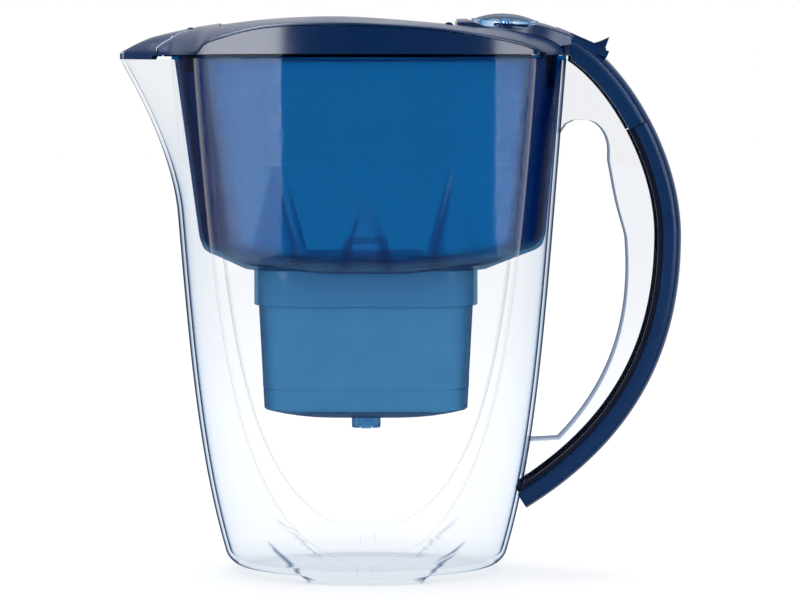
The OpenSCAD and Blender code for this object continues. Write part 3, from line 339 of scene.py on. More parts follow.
def make_jug():
    rings = [level(jug_plan(FOOT_DROP, BASE_R + FOOT_W + 1), FOOT_DROP)]
    rings.append([(x, y, FOOT_DROP - FOOT_DROP * foot_share(x, FOOT_DROP))
                  for x, y in jug_plan(FOOT_DROP, BASE_R + FOOT_W - 1)])
    heights = []
    for a in range(0, 91, 10):
        c, s = cos_sin(a)
        heights.append(FOOT_DROP + BASE_R * (1 - c))
        rings.append(base_ring(heights[-1], BASE_R * (1 - s), FOOT_DROP * (1 - a / 90)))
    low, wall = FOOT_DROP + BASE_R, len(rings)
    for i in range(1, JUG_ROWS + 1):
        z = mix(low, RIM_Z, i / JUG_ROWS)
        rings.append(level(jug_plan(z, 0.25 if i == JUG_ROWS else 0), z))
    floor_z, r = FOOT_DROP + FLOOR_T, BASE_R - JUG_WALL
    for i in range(JUG_ROWS, 0, -1):
        z = mix(floor_z + r, RIM_Z, i / JUG_ROWS)
        rings.append(level(jug_plan(z, JUG_WALL), z))
    for a in range(90, -1, -15):
        c, s = cos_sin(a)
        z = floor_z + r * (1 - c)
        rings.append(level(jug_plan(z, JUG_WALL + r * (1 - s)), z))

    # Painted shade on the sloping flanks of the feet, darker on the near side
    def flank_shade(z):
        return [(NEAR_FLANK_SHADE if y < 0 else FAR_FLANK_SHADE) if 0 < foot_share(x, z) < 1 else 0.0
                for x, y in jug_plan(z, 0)]
    heights.append(mix(low, RIM_Z, 1 / JUG_ROWS))
    creases = on_creases(len(rings[0]), JUG_CAPS, JUG_PANELS)
    # Painted light and shade: a highlight line along the creases, the base and the inner floor painted pale,
    # and the flanks of the feet painted dark
    paint = {"highlight_line": {j: creases for j in range(8, wall + JUG_ROWS)},
             "pale": {j: 1.0 for j in range(-5, 5)},
             "deep": {2 + i: flank_shade(z) for i, z in enumerate(heights)}}
    return ring_solid("jug_shell", rings, sharp=28, paint=paint)


# --- Reservoir ---
RES_CAPS, RES_PANELS, RES_ROWS = 22, 150, 40


def channel(z):
    """Width of the pouring channel in front of the reservoir."""
    return mix(CHAN_LOW, CHAN_TOP, (z - RES_Z) / (RIM_Z - RES_Z))


def res_plan(z, inset):
    g = JUG_WALL + RES_GAP + inset
    return section(oval_l(z) - g, oval_l(z) - g - channel(z), oval_w(z) - g, panel_w(z) - g, 0,
                   RES_CAPS, RES_PANELS)


def floor_edge(x):
    return RES_Z + RES_RISE * (x / oval_l(RES_Z)) ** 2


def across_flute(k, x, z):
    """How much of flute k is left at a height, and x across it, from -1 to 1."""
    rise = 1 - z / (FLUTE_H - (FLUTE_MID if k == 0 else 0))
    return rise, (x - k * FLUTE_PITCH) / (FLUTE_W / 2 * rise) if rise > 0 else 1


def flute(x, z):
    deep = 0.0
    for k in (-1, 0, 1):
        rise, across = across_flute(k, x, z)
        if abs(across) < 1:
            deep = max(deep, FLUTE_D * rise * (1 - across * across) ** 0.85)
    return deep


def flute_highlight(x, z):
    """A painted highlight along the border of a flute towards the middle of the face, and a faint one inside
    the middle flute.
    """
    for k in (-1, 0, 1):
        rise, across = across_flute(k, x, z)
        if rise > 0.03:
            if k * across < 0 and 0.86 < abs(across) < 0.86 + 1.1 / (FLUTE_W / 2 * rise):
                return 0.6
            if k == 0 and abs(across) < 1:
                return 0.1
    return 0.0


def fluted(x, y, z):
    return (x, y - copysign(flute(x, z), y), floor_edge(x) + z)


def res_wall_ring(t, inset):
    plan = res_plan(mix(RES_Z, RIM_Z, t), inset)
    return [fluted(x, y, (RIM_Z - floor_edge(x)) * t) for x, y in plan]


def res_corner(a, r, inset, lift):
    c, s = cos_sin(a)
    return [fluted(x, y, lift + r * (1 - c)) for x, y in res_plan(RES_Z, inset + r * (1 - s))]


def flange_ring(z, out):
    ll = RIM_L - JUG_WALL - RES_GAP - CHAN_TOP + 1.5 + out
    return level(section(RIM_L + out, ll, RIM_W + out, PANEL_RIM + out, 0, RES_CAPS, RES_PANELS), z)


def socket_ring(inset, z):
    hl, hw, r = SOCK_L - inset, SOCK_W - inset, SOCK_R - inset
    corner = [(hl, 0)]
    for i in range(1, RES_CAPS + 1):
        a = pi / 2 * (i - 1) / (RES_CAPS - 1)
        corner.append((hl - r + r * cos(a), hw - r + r * sin(a)))
    flat = [(mix(hl - r, r - hl, i / RES_PANELS), hw) for i in range(1, RES_PANELS)]
    half = corner + flat + [(-x, y) for x, y in corner[::-1]]
    return level(half + [(x, -y) for x, y in half[-2:0:-1]], z)


def make_reservoir():
    top_z, low_z = RES_Z + 1, RES_Z - SOCK_H + 1
    flange_z = RIM_Z + LID_GAP
    shares = [mix(0.05, 1, (i / RES_ROWS) ** 1.1) for i in range(1, RES_ROWS + 1)]
    rings = [socket_ring(0.5, low_z), socket_ring(0.1, low_z + 0.2), socket_ring(0, low_z + 0.6),
             socket_ring(0, top_z - 0.6), socket_ring(-0.6, top_z), socket_ring(-4.5, top_z)]
    rings += [res_corner(a, RES_R, 0, 0) for a in (0, 18, 36, 54)]
    wall = len(rings)
    rings += [res_wall_ring(t, 0) for t in shares]
    rings += [flange_ring(flange_z, 0), flange_ring(flange_z + FLANGE_T, 0)]
    rings += [level(res_plan(RIM_Z, RES_WALL), flange_z + FLANGE_T)]
    rings += [res_wall_ring(t, RES_WALL) for t in shares[-2::-1]]
    rings += [res_corner(a, RES_R - RES_WALL / 2, RES_WALL, RES_WALL) for a in (54, 36, 18, 0)]
    rings += [socket_ring(-4.5, top_z + RES_WALL), socket_ring(SOCK_T, top_z + RES_WALL),
              socket_ring(SOCK_T, low_z)]
    creases = on_creases(len(rings[0]), RES_CAPS, RES_PANELS)
    highlight_lines = {}
    for i, t in enumerate(shares):
        plan = res_plan(mix(RES_Z, RIM_Z, t), 0)
        highlight_lines[wall + i] = [max(c, flute_highlight(x, (RIM_Z - floor_edge(x)) * t))
                           for c, (x, y) in zip(creases, plan)]
    flange = wall + RES_ROWS
    # Painted light and shade: highlight lines along the creases and flutes, the socket and floor painted
    # pale, and the flange between the jug's rim and the lid painted dark
    paint = {"highlight_line": highlight_lines,
             "pale": {j: 1.0 if -2 <= j <= 4 else 0.5 for j in range(-7, wall)},
             "deep": {j: 1.0 for j in range(flange, flange + 3)}}
    return ring_solid("reservoir_shell", rings, wrap=True, sharp=28, paint=paint)


# --- Cartridge ---
CART_GAP, CART_DROP, BELLY, CART_TAPER, CART_WALL = 0.4, 50.5, 5.0, 2.6, 1.6
SHOULDER_H, NECK_IN = 9.5, 2.4
CART_L, CART_W, CART_R = (size - SOCK_T - CART_GAP for size in (SOCK_L, SOCK_W, SOCK_R))
SOCK_LOW = RES_Z - SOCK_H + 1
CART_BASE = SOCK_LOW - CART_DROP
SHOULDER_Z = SOCK_LOW + SHOULDER_H
NECK_Z = SHOULDER_Z + 2


def quarter(cx, cy, r, q, steps):
    """A quarter of a circle, from q right angles on."""
    turn = [pi / 2 * (q + i / steps) for i in range(steps + 1)]
    return [(cx + r * cos(a), cy + r * sin(a)) for a in turn]


def pill(hl, hw, r):
    corners = enumerate(((hl - r, hw - r), (r - hl, hw - r), (r - hl, r - hw), (hl - r, r - hw)))
    return [p for q, (cx, cy) in corners for p in quarter(cx, cy, r, q, 18)]


def cart_ring(inset, z, share=1.0):
    return level(pill((CART_L - inset) * share, (CART_W - inset) * share, (CART_R - inset) * share), z)


def belly_z(share):
    return CART_BASE - BELLY * (1 - share ** 3)


def make_cartridge():
    t, w = CART_TAPER, CART_WALL
    out = [cart_ring(t, belly_z(s), s) for s in (0.16, 0.3, 0.45, 0.6, 0.72, 0.82, 0.9, 0.95, 0.985)]
    # A low band runs round above the underside
    band = ((0.05, 0.5), (0.12, 1.5), (0.55, 9.6), (0.35, 10.0), (0.7, 10.6))
    out += [cart_ring(t - d, CART_BASE + h) for d, h in band]
    out += [cart_ring(mix(t, 0, i / 12), mix(CART_BASE, SOCK_LOW, i / 12)) for i in range(4, 13)]
    out += [cart_ring(0, SHOULDER_Z - 3.4), cart_ring(0.25, SHOULDER_Z - 1.9),
            cart_ring(NECK_IN * 0.55, SHOULDER_Z - 0.6), cart_ring(NECK_IN, SHOULDER_Z)]
    out += [cart_ring(NECK_IN, NECK_Z), cart_ring(NECK_IN + w, NECK_Z)]
    inner = [cart_ring(NECK_IN + w, SHOULDER_Z - w), cart_ring(w, SHOULDER_Z - 4.5),
             cart_ring(w, SOCK_LOW), cart_ring(t + w, CART_BASE + 1)]
    inner += [cart_ring(t + w, belly_z(s) + w, s) for s in (0.95, 0.82, 0.6, 0.3, 0.16)]
    return ring_solid("cartridge_shell", out + inner, sharp=28)


# --- Lid ---
LID_Z = RIM_Z + LID_GAP + FLANGE_T + LID_GAP
ROOF_T = 2.0
ROOF_REAR = RIM_L - 0.8
CROWN_LINE = [(-SPOUT_REACH, 0.08), (-SPOUT_REACH + 8, 0.3), (-103, 0.47), (-84, 0.69), (-69, 0.81),
              (-40, 0.96), (-13, 1), (10, 0.94), (40, 0.81), (70, 0.67), (86, 0.52), (RIM_L, 0.31)]
CROWN_LINE = [(x, h * CROWN) for x, h in CROWN_LINE]
EDGE_LINE = [(-SPOUT_REACH, 1.3), (-86, 1.3), (-79.5, 1.4), (-76, 5.2), (-70, 7.8), (-52, 12.4),
             (-34, 14.1), (-12, 14.4), (8, 13.7), (36, 11.8), (58, 8.6), (73, 5.6), (82, 2.6), (87, 1.4),
             (RIM_L, 1.3)]
FLIP_FRONT, FLIP_HINGE, FLIP_HALF, FLIP_R, SEAM, FLIP_DROP = -69.0, 39.5, 36.0, 14.0, 0.5, 0.6
FLAP_HINGE, FLAP_SEAM, FLAP_HALF = -84.0, -102.0, 13.2
KNUCKLE_R, KNUCKLE_L, PIN_R = 2.6, 7.0, 1.25
ROOT_X = RIM_L * sqrt(1 - (SPOUT_HALF / RIM_W) ** 2)


def lid_half(x):
    oval = RIM_W * sqrt(max(1 - x * x / (RIM_L * RIM_L), 0))
    panel = PANEL_RIM - PANEL_R + sqrt(PANEL_R ** 2 - x * x)
    point = SPOUT_HALF * (SPOUT_REACH + x) / (SPOUT_REACH - ROOT_X) if x < -ROOT_X else 0
    return max(min(oval, panel), point, 1.5)


def roof_z(x, y):
    u = min(abs(y) / lid_half(x), 1)
    return LID_Z + mix(height_at(CROWN_LINE, x), height_at(EDGE_LINE, x), u ** 2.5)


def lid_low(x):
    return RIM_Z + 0.3 if x < FLAP_SEAM - 0.5 else LID_Z


FLIP_AXIS = (FLIP_HINGE, roof_z(FLIP_HINGE, 0) - FLIP_DROP - KNUCKLE_R + 0.1)
FLAP_AXIS = (FLAP_HINGE, roof_z(FLAP_HINGE, 0) - KNUCKLE_R + 0.1)
(FLIP_X, FLIP_Z), (FLAP_X, FLAP_Z) = FLIP_AXIS, FLAP_AXIS


def flip_outline(gap, rear):
    """The flip panel in plan, grown by gap, with its rear edge straight at rear."""
    r, hw = FLIP_R + gap, FLIP_HALF + gap
    cx = FLIP_FRONT - gap + r
    return [(rear, hw)] + quarter(cx, hw - r, r, 1, 14) + quarter(cx, r - hw, r, 2, 14) + [(rear, -hw)]


def circle(cx, cy, r, steps=72):
    turn = [2 * pi * i / steps for i in range(steps)]
    return [(cx + r * cos(a), cy + r * sin(a)) for a in turn]


def bar(name, at, r, y0, y1):
    return prism(name, circle(*at, r, 40), y0, y1, sharp=40)


def block(name, x0, x1, y0, y1, z0, z1):
    return prism(name, [(x0, z0), (x1, z0), (x1, z1), (x0, z1)], y0, y1)


# --- Materials ---
def node(tree, kind, *values, out=0, **more):
    """Adds a node and gives one of its outputs. Values feed its inputs in their order; capitalised words
    feed inputs by name, with _ for a space, and small words are settings."""
    n = tree.nodes.new("ShaderNode" + kind)
    for key, value in more.items():
        if key.islower():
            setattr(n, key, value)
    named = [(n.inputs[key.replace("_", " ")], value) for key, value in more.items() if not key.islower()]
    for socket, value in [*zip(n.inputs, values), *named]:
        if isinstance(value, bpy.types.NodeSocket):
            tree.links.new(value, socket)
        else:
            socket.default_value = (*value, 1) if socket.type == "RGBA" else value
    return n.outputs[out]


def tinted(tree, factor, a, b):
    return node(tree, "Mix", out="Result", data_type="RGBA", Factor=factor, A=a, B=b)


def smooth(tree, value, *span):
    """Eases from one value to another while the input goes from low to high."""
    return node(tree, "MapRange", value, *span, interpolation_type="SMOOTHSTEP")


def fresh_material(name):
    mat = bpy.data.materials.new(name)
    mat.use_nodes = True
    mat.node_tree.nodes.clear()
    return mat, mat.node_tree


def surfaced(mat, shader):
    tree = mat.node_tree
    tree.links.new(shader, tree.nodes.new("ShaderNodeOutputMaterial").inputs["Surface"])
    return mat


def noise(tree, **more):
    return node(tree, "TexNoise", out="Fac", Vector=node(tree, "TexCoord", out="Object"), **more)


def noise_bump(tree, scale, strength, distance=0.0002, detail=3.0):
    grain = noise(tree, Scale=scale, Detail=detail)
    return node(tree, "Bump", Strength=strength, Distance=distance, Height=grain), grain


def plastic(name, colour, deep, rough=(0.22, 0.34), bump=0.12, scale=900.0, mirror=0.14):
    """Moulded opaque plastic: faint mottling, rubbed roughness and a fine orange-peel surface."""
    mat, t = fresh_material(name)
    peel, _ = noise_bump(t, scale, bump)
    wear = noise(t, Scale=38.0, Detail=5.0, Roughness=0.6)
    return surfaced(mat, node(t, "BsdfPrincipled", IOR=1.5, Specular_IOR_Level=mirror, Normal=peel,
                              Roughness=node(t, "MapRange", wear, 0.3, 0.7, *rough),
                              Base_Color=tinted(t, wear, deep, colour)))


def clear_film(name, stops, gloss, rough=0.04, haze=0.0, haze_and_highlight_colour=(1, 1, 1), highlight_line=0.0, tones=None,
               pale_light_share=0.0, pale_light_colour=(0.1, 0.4, 0.8), slant_tone=(0.002, 0.09, 0.27)):
    """See-through plastic as the surfaces of a wall: light that crosses it is tinted, deeper at a slant,
    partly as the longer way through the wall and partly as painted shade that draws dark edges.

    gloss is how much mirrors straight on, how much more at a slant, and how late that sets in; the share
    given for the marked lines is how strong the painted highlight is, a diffuse haze along the creases and
    flute borders marked on the mesh. tones tint the other marks, painted lighter where pale and painted
    darker where deep."""
    mat, t = fresh_material(name)
    # The tint darkens towards a slant: the longer way through the wall, and past that painted shade at the
    # edges
    facing = node(t, "LayerWeight", out="Facing", Blend=0.5)
    tint = node(t, "ValToRGB", facing)
    ramp = tint.node.color_ramp
    while len(ramp.elements) < len(stops):
        ramp.elements.new(0.5)
    for e, (at, rgb) in zip(ramp.elements, stops):
        e.position, e.color = at, (*rgb, 1)
    # Marks on the mesh: painted highlight lines, patches painted pale and bands painted dark
    mark = {key: node(t, "Attribute", out="Fac", attribute_name=key) for key in ("highlight_line", "pale", "deep")}
    for key, tone in (tones or {}).items():
        tint = tinted(t, mark[key], tint, tone)
    body = node(t, "BsdfTransparent", Color=tint)
    ripple, grain = noise_bump(t, 60.0, 0.03, 0.0006, 2.0)
    # A diffuse haze: the plastic's own cloudiness where haze is given, a painted highlight on the marked
    # lines and painted light on the pale mark, in the slant tone at a slant
    if haze or highlight_line:
        amount = node(t, "MapRange", grain, 0.0, 1.0, haze * 0.85, haze * 1.15)
        for key, share in (("highlight_line", highlight_line), ("pale", pale_light_share)):
            amount = node(t, "Math", mark[key], share, amount, operation="MULTIPLY_ADD")
        hue = tinted(t, mark["pale"] if pale_light_share else 0.0, haze_and_highlight_colour, pale_light_colour)
        late = smooth(t, facing, 0.15, 0.85, 0.0, 1.0)
        haze_and_highlight = node(t, "BsdfDiffuse", Color=tinted(t, late, hue, slant_tone), Normal=ripple)
        body = node(t, "MixShader", amount, body, haze_and_highlight)
    straight, more, late = gloss
    slant = node(t, "Math", facing, late, operation="POWER")
    weight = node(t, "Math", slant, more, straight, operation="MULTIPLY_ADD")
    shine = node(t, "BsdfGlossy", Color=(1, 1, 1), Roughness=rough, Normal=ripple)
    return surfaced(mat, node(t, "MixShader", weight, body, shine))


def steel(name):
    mat, t = fresh_material(name)
    peel, grain = noise_bump(t, 1400.0, 0.2)
    return surfaced(mat, node(t, "BsdfPrincipled", Metallic=1.0, Base_Color=(0.6, 0.61, 0.63), Normal=peel,
                              Roughness=node(t, "MapRange", grain, 0.0, 1.0, 0.25, 0.45)))


NAVY, NAVY_DEEP = (0.0008, 0.038, 0.155), (0.0005, 0.029, 0.122)
# Tints by facing, from straight on to a slant. Past what the plastic absorbs, the dark stops are painted
# shade: they draw dark edges where the real plastic shows its dark surroundings.
CLEAR_STOPS = [(0, (0.97, 0.975, 0.982)), (0.3, (0.958, 0.965, 0.976)), (0.6, (0.93, 0.945, 0.962)),
               (0.73, (0.85, 0.88, 0.92)), (0.79, (0.6, 0.68, 0.78)), (0.845, (0.1, 0.16, 0.28)),
               (1, (0.01, 0.03, 0.09))]
BOW_STOPS = [(0, (0.925, 0.932, 0.95)), (0.4, (0.9, 0.91, 0.935)), (0.7, (0.75, 0.78, 0.83)),
             (0.85, (0.25, 0.33, 0.45)), (1, (0.02, 0.05, 0.12))]
BLUE_STOPS = [(0, (0.08, 0.568, 0.752)), (0.14, (0.075, 0.555, 0.745)), (0.3, (0.03, 0.41, 0.62)),
              (0.6, (0.01, 0.28, 0.49)), (0.9, (0.005, 0.12, 0.3)), (1, (0.0, 0.05, 0.15))]
CART_STOPS = [(0, (0.54, 0.8, 0.93)), (0.2, (0.5, 0.77, 0.91)), (0.5, (0.3, 0.62, 0.82)),
              (0.8, (0.08, 0.36, 0.6)), (1, (0.01, 0.1, 0.26))]
CAP_STOPS = [(0, (0.85, 0.95, 1.0)), (0.5, (0.7, 0.88, 0.98)), (1, (0.3, 0.6, 0.8))]
KNOB_STOPS = [(0, (0.9, 0.95, 0.99)), (0.6, (0.6, 0.75, 0.9)), (1, (0.02, 0.06, 0.16))]
# In the films, the marked-line strengths give painted highlights, pale tones and pale light give painted
# light, and deep tones give painted shade. The haze colour is the colour of the painted highlight lines on
# the jug and the reservoir, and the plastic's own cloudiness on the cartridge and cap, whose darker slant
# tone is painted shade at their sides.
FILMS = {
    "jug_clear": dict(stops=CLEAR_STOPS, gloss=(0.002, 0.05, 4.0), highlight_line=0.35, slant_tone=(0.8, 0.85, 0.9),
                      tones={"pale": (0.93, 0.945, 0.96), "deep": (0.12, 0.2, 0.34)}),
    "bow_clear": dict(stops=BOW_STOPS, gloss=(0.004, 0.08, 3.0)),
    "knob_clear": dict(stops=KNOB_STOPS, gloss=(0.006, 0.2, 3.0)),
    "reservoir_blue": dict(stops=BLUE_STOPS, gloss=(0.004, 0.04, 4.0), highlight_line=0.22,
                           haze_and_highlight_colour=(0.3, 0.42, 0.56), slant_tone=(0.06, 0.16, 0.32), pale_light_share=0.5,
                           pale_light_colour=(0.14, 0.54, 1.0),
                           tones={"pale": (0.5, 0.78, 0.92), "deep": (0.02, 0.25, 0.45)}),
    "cartridge_blue": dict(stops=CART_STOPS, gloss=(0.004, 0.1, 4.0), rough=0.15, haze=0.62,
                           haze_and_highlight_colour=(0.14, 0.54, 1.0)),
    "cap_blue": dict(stops=CAP_STOPS, gloss=(0.004, 0.1, 4.0), rough=0.15, haze=0.2,
                     haze_and_highlight_colour=(0.3, 0.75, 1.0)),
}
# Colour where the plastic is light, colour where it is deep, and what differs from plain plastic
PLASTICS = {
    "lid_navy": (NAVY, NAVY_DEEP, dict(mirror=0.3)),
    "panel_navy": ((0.0008, 0.034, 0.145), (0.0005, 0.026, 0.115),
                   dict(rough=(0.1, 0.16), bump=0.05, scale=1500.0, mirror=0.36)),
    "flip_navy": (NAVY, NAVY_DEEP, {}),
    "flap_navy": (NAVY, NAVY_DEEP, dict(mirror=0.3)),
    "slide_navy": ((0.0008, 0.04, 0.16), NAVY_DEEP, {}),
    "grip_navy": ((0.0009, 0.044, 0.17), (0.0006, 0.034, 0.135), {}),
    # Near-black for the liner: painted shade along the inner edge of the handle's cover
    "liner_dark": ((0.001, 0.01, 0.045), (0.0005, 0.006, 0.03), dict(rough=(0.3, 0.4))),
    "seal_rubber": ((0.02, 0.02, 0.024), (0.01, 0.01, 0.012), dict(rough=(0.6, 0.75))),
    "screen_white": ((0.75, 0.78, 0.8), (0.65, 0.68, 0.72), dict(rough=(0.45, 0.6))),
    "media_white": ((0.72, 0.77, 0.82), (0.42, 0.47, 0.52), dict(rough=(0.8, 0.95), bump=0.9, scale=700.0)),
    "rod_dark": ((0.01, 0.02, 0.05), (0.006, 0.012, 0.03), dict(rough=(0.35, 0.5))),
    "dial_white": ((0.78, 0.82, 0.86), (0.7, 0.74, 0.8), dict(rough=(0.35, 0.5))),
    "pointer_dark": ((0.002, 0.03, 0.12), (0.001, 0.02, 0.08), {}),
}
MATS = {name: clear_film(name, **how) for name, how in FILMS.items()}
MATS.update({name: plastic(name, light, deep, **how) for name, (light, deep, how) in PLASTICS.items()})
MATS["pin_steel"] = steel("pin_steel")


def stand_for(obj, slot, body, *names):
    obj.data.materials.clear()
    obj.data.materials.append(MATS[slot])
    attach(obj, body)
    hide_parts(*names)


for sub in frame["record"]["subparts"]:
    for s in nodes[sub["node"]].material_slots:
        s.material = MATS[sub["material_slot"]]


# --- Plates: pieces cut from a surface over the XY plane, with rounded upper edges ---
def signed_area(loop):
    return sum(a[0] * b[1] - b[0] * a[1] for a, b in zip(loop, loop[1:] + loop[:1])) / 2


def dense(loop, step):
    """The same outline with no side longer than step."""
    out = []
    for a, b in zip(loop, loop[1:] + loop[:1]):
        n = max(1, ceil(dist(a, b) / step))
        out += [(mix(a[0], b[0], i / n), mix(a[1], b[1], i / n)) for i in range(n)]
    return out


def drawn_in(loop, d):
    """An outline moved d to the left of its direction of travel."""
    out, n = [], len(loop)
    for i in range(n):
        a, b, c = loop[i - 1], loop[i], loop[(i + 1) % n]
        u = (b[0] - a[0], b[1] - a[1])
        v = (c[0] - b[0], c[1] - b[1])
        lu, lv = hypot(*u) or 1, hypot(*v) or 1
        n1, n2 = (-u[1] / lu, u[0] / lu), (-v[1] / lv, v[0] / lv)
        k = max(1 + n1[0] * n2[0] + n1[1] * n2[1], 0.5)
        out.append((b[0] + d * (n1[0] + n2[0]) / k, b[1] + d * (n1[1] + n2[1]) / k))
    return out


def within(loops, x, y):
    odd = False
    for loop in loops:
        for a, b in zip(loop, loop[1:] + loop[:1]):
            if (a[1] > y) != (b[1] > y) and x < a[0] + (y - a[1]) / (b[1] - a[1]) * (b[0] - a[0]):
                odd = not odd
    return odd


def plate(name, outer, holes, top, under, r=0.5, step=1.8, sharp=40):
    """Top and under give the heights; the border is rounded with radius r; inside, points step apart."""
    loops = [dense(outer if signed_area(outer) > 0 else outer[::-1], step)]
    loops += [dense(h[::-1] if signed_area(h) > 0 else h, step) for h in holes]
    verts, faces, last = [], [], []
    for loop in loops:
        n, rings = len(loop), []
        for c, s in (cos_sin(a) for a in (0, 30, 60, 90)):
            rings.append(len(verts))
            verts += [(x, y, top(x, y) - r * (1 - s)) for x, y in drawn_in(loop, r * (1 - c))]
        low, inner = len(verts), drawn_in(loop, r)
        low_in = low + n
        verts += [(x, y, under(x, y)) for x, y in loop + inner]
        order = [low_in, low] + rings
        for p, q in zip(order, order[1:]):
            faces += [(p + i, p + (i + 1) % n, q + (i + 1) % n, q + i) for i in range(n)]
        last.append((inner, rings[-1], low_in))
    flat, ups, downs, edges, loop_of = [], [], [], [], []
    for inner, up, down in last:
        k, n = len(flat), len(inner)
        flat += [Vector(q) for q in inner]
        ups += [up + i for i in range(n)]
        downs += [down + i for i in range(n)]
        edges += [(k + i, k + (i + 1) % n) for i in range(n)]
        loop_of += [up] * n
    rings2d = [inner for inner, _, _ in last]
    cells = {}
    for ring in rings2d:
        for q in ring:
            cells.setdefault((int(q[0] // step), int(q[1] // step)), []).append(q)

    def close(x, y):
        a, b = int(x // step), int(y // step)
        return any(dist(q, (x, y)) < 0.62 * step for i in (a - 1, a, a + 1) for j in (b - 1, b, b + 1)
                   for q in cells.get((i, j), ()))
    (x0, x1), (y0, y1) = ((min(c), max(c)) for c in zip(*rings2d[0]))
    for i in range(int(x0 / step) - 1, int(x1 / step) + 2):
        for j in range(int(y0 / step) - 1, int(y1 / step) + 2):
            x, y = i * step, j * step
            if close(x, y) or not within(rings2d, x, y):
                continue
            flat.append(Vector((x, y)))
            ups.append(len(verts))
            downs.append(len(verts) + 1)
            verts += [(x, y, top(x, y)), (x, y, under(x, y))]
    got = delaunay_2d_cdt(flat, edges, [], 0, 1e-5)
    where = [origins[0] if origins else None for origins in got[3]]
    for tri in got[2]:
        ids = [where[k] for k in tri]
        if None in ids:
            continue
        # A triangle on one border only lies inside when it meets the border's points in their order
        i, j, k = ids
        if max(ids) < len(loop_of) and loop_of[i] == loop_of[j] == loop_of[k] and not (
                i < j < k or j < k < i or k < i < j):
            continue
        faces.append(tuple(ups[q] for q in ids))
        faces.append(tuple(downs[q] for q in ids[::-1]))
    return new_object(name, verts, faces, sharp)


def lathe(name, profile, centre, steps=72, sharp=35, tilt=0.0):
    """A closed profile of (radius, height) turned about an upright axis, leaning back by tilt."""
    verts, m = [], len(profile)
    c, s = cos_sin(tilt)
    for i in range(steps):
        a = 2 * pi * i / steps
        for r, h in profile:
            x, y = r * cos(a), r * sin(a)
            verts.append((centre[0] + x * c + h * s, centre[1] + y, centre[2] - x * s + h * c))
    faces = []
    for i in range(steps):
        p, q = i * m, (i + 1) % steps * m
        faces += [(p + j, q + j, q + (j + 1) % m, p + (j + 1) % m) for j in range(m)]
    return new_object(name, verts, faces, sharp)


def rounded(key, name, width, slot, body):
    """Stands for a plain node with a copy of it that has rounded edges."""
    src = nodes[key]
    bm = bmesh.new()
    bm.from_mesh(src.data)
    bm.transform(src.matrix_world)
    bmesh.ops.remove_doubles(bm, verts=bm.verts, dist=0.000002)
    bmesh.ops.dissolve_limit(bm, angle_limit=radians(1), verts=bm.verts, edges=bm.edges)
    obj = add(name, mesh_of(bm, name))
    bevel(obj, width, 2, 30)
    stand_for(finish_mesh(obj, 35), slot, body, key)


def cut(obj, *cutters):
    """Takes the cutters away from an object and drops them."""
    for cutter in cutters:
        boolean(obj, cutter)
        drop(cutter)


def bore(objs, at, r):
    """Bores a hole for a pin along y."""
    hole = bar("b", at, r, -50, 50)
    for obj in objs:
        boolean(obj, hole)
    drop(hole)


def assemble(name, objs, sharp, slot, body, key):
    stand_for(finish_mesh(join(name, objs), sharp), slot, body, key)


stand_for(make_jug(), "jug_clear", "jug_body", "jug")
stand_for(make_reservoir(), "reservoir_blue", "reservoir_body", "reservoir")
stand_for(make_cartridge(), "cartridge_blue", "cartridge", "cartridge_body")
rounded("cartridge_cap", "cap_bevelled", 0.25, "cap_blue", "cartridge")
rounded("outlet_nozzle", "nozzle_bevelled", 0.3, "cartridge_blue", "cartridge")

# --- Lid pieces ---
HOUSING_FRONT = FLIP_HINGE + 4
DIAL_X, DIAL_Z, DIAL_TILT, DIAL_R, DIAL_BODY = RIM_L - 29.7, RIM_Z + 18.7, 2.5, 16.3, 13.6
POCKET_R, CUP_T, DIAL_FLOOR, SCOOP_R = DIAL_BODY + 0.6, 1.4, -5.3, 36.0
SLIDE_FRONT, SLIDE_ANGLE, SLIDE_L, SLIDE_HALF, SLIDE_T = RIM_L - 5, 23.5, 19.6, 7.5, 2.0
TAB_H, TAB_L, SLIDE_PLAY = 5.5, 9.0, 0.4
SLIDE_TOP = (SLIDE_FRONT, RIM_Z + 15.9)
SLIDE_COS, SLIDE_SIN = cos_sin(SLIDE_ANGLE)
TAIL_X = RIM_L + 1.6
TAIL_START = (TAIL_X, SLIDE_TOP[1] - (TAIL_X - SLIDE_FRONT) * tan(radians(SLIDE_ANGLE)))
CRANK_L, OPEN_ANGLE = 5.5, 70
ROD_TRAVEL = 0.8 * CRANK_L * radians(OPEN_ANGLE)
SLIDE_TRAVEL = ROD_TRAVEL / SLIDE_COS
ROD_Z, ROD_REAR = FLIP_Z - CRANK_L, SLIDE_FRONT - 0.2
LEG_T, LEG_HALF = 2.4, 3.5
TAB_REAR = SLIDE_L + TAB_L - 2.4
PIN_PLAY, TURN_GAP, EDGE = 0.06, 0.4, 0.25


def roof_under(x, y):
    """Underside of the lid's plates, thinner towards a lip at the outer edge."""
    if abs(y) > 0.99 * lid_half(x) and height_at(EDGE_LINE, x) < 1.6:
        return lid_low(x)
    lip = min(max(lid_half(x) - abs(y), 0) / 3.0, 1)
    return max(roof_z(x, y) - mix(0.9, ROOF_T, lip), lid_low(x))


def track(x, y, z):
    """A point given in the thumb slide's track frame."""
    return (SLIDE_TOP[0] + x * SLIDE_COS + z * SLIDE_SIN, y, SLIDE_TOP[1] - x * SLIDE_SIN + z * SLIDE_COS)


def on_track(obj):
    for v in obj.data.vertices:
        x, y, z = (c / MM for c in v.co)
        v.co = put(track(x - SHIFT, y, z))
    return obj


def slide_outline(gap, front):
    cx, r = front + SLIDE_HALF, SLIDE_HALF + gap
    arc = [cos_sin(a) for a in range(90, 271, 6)]
    return [(TAB_REAR + gap, -r), (TAB_REAR + gap, r)] + [(cx + r * c, r * s) for c, s in arc]


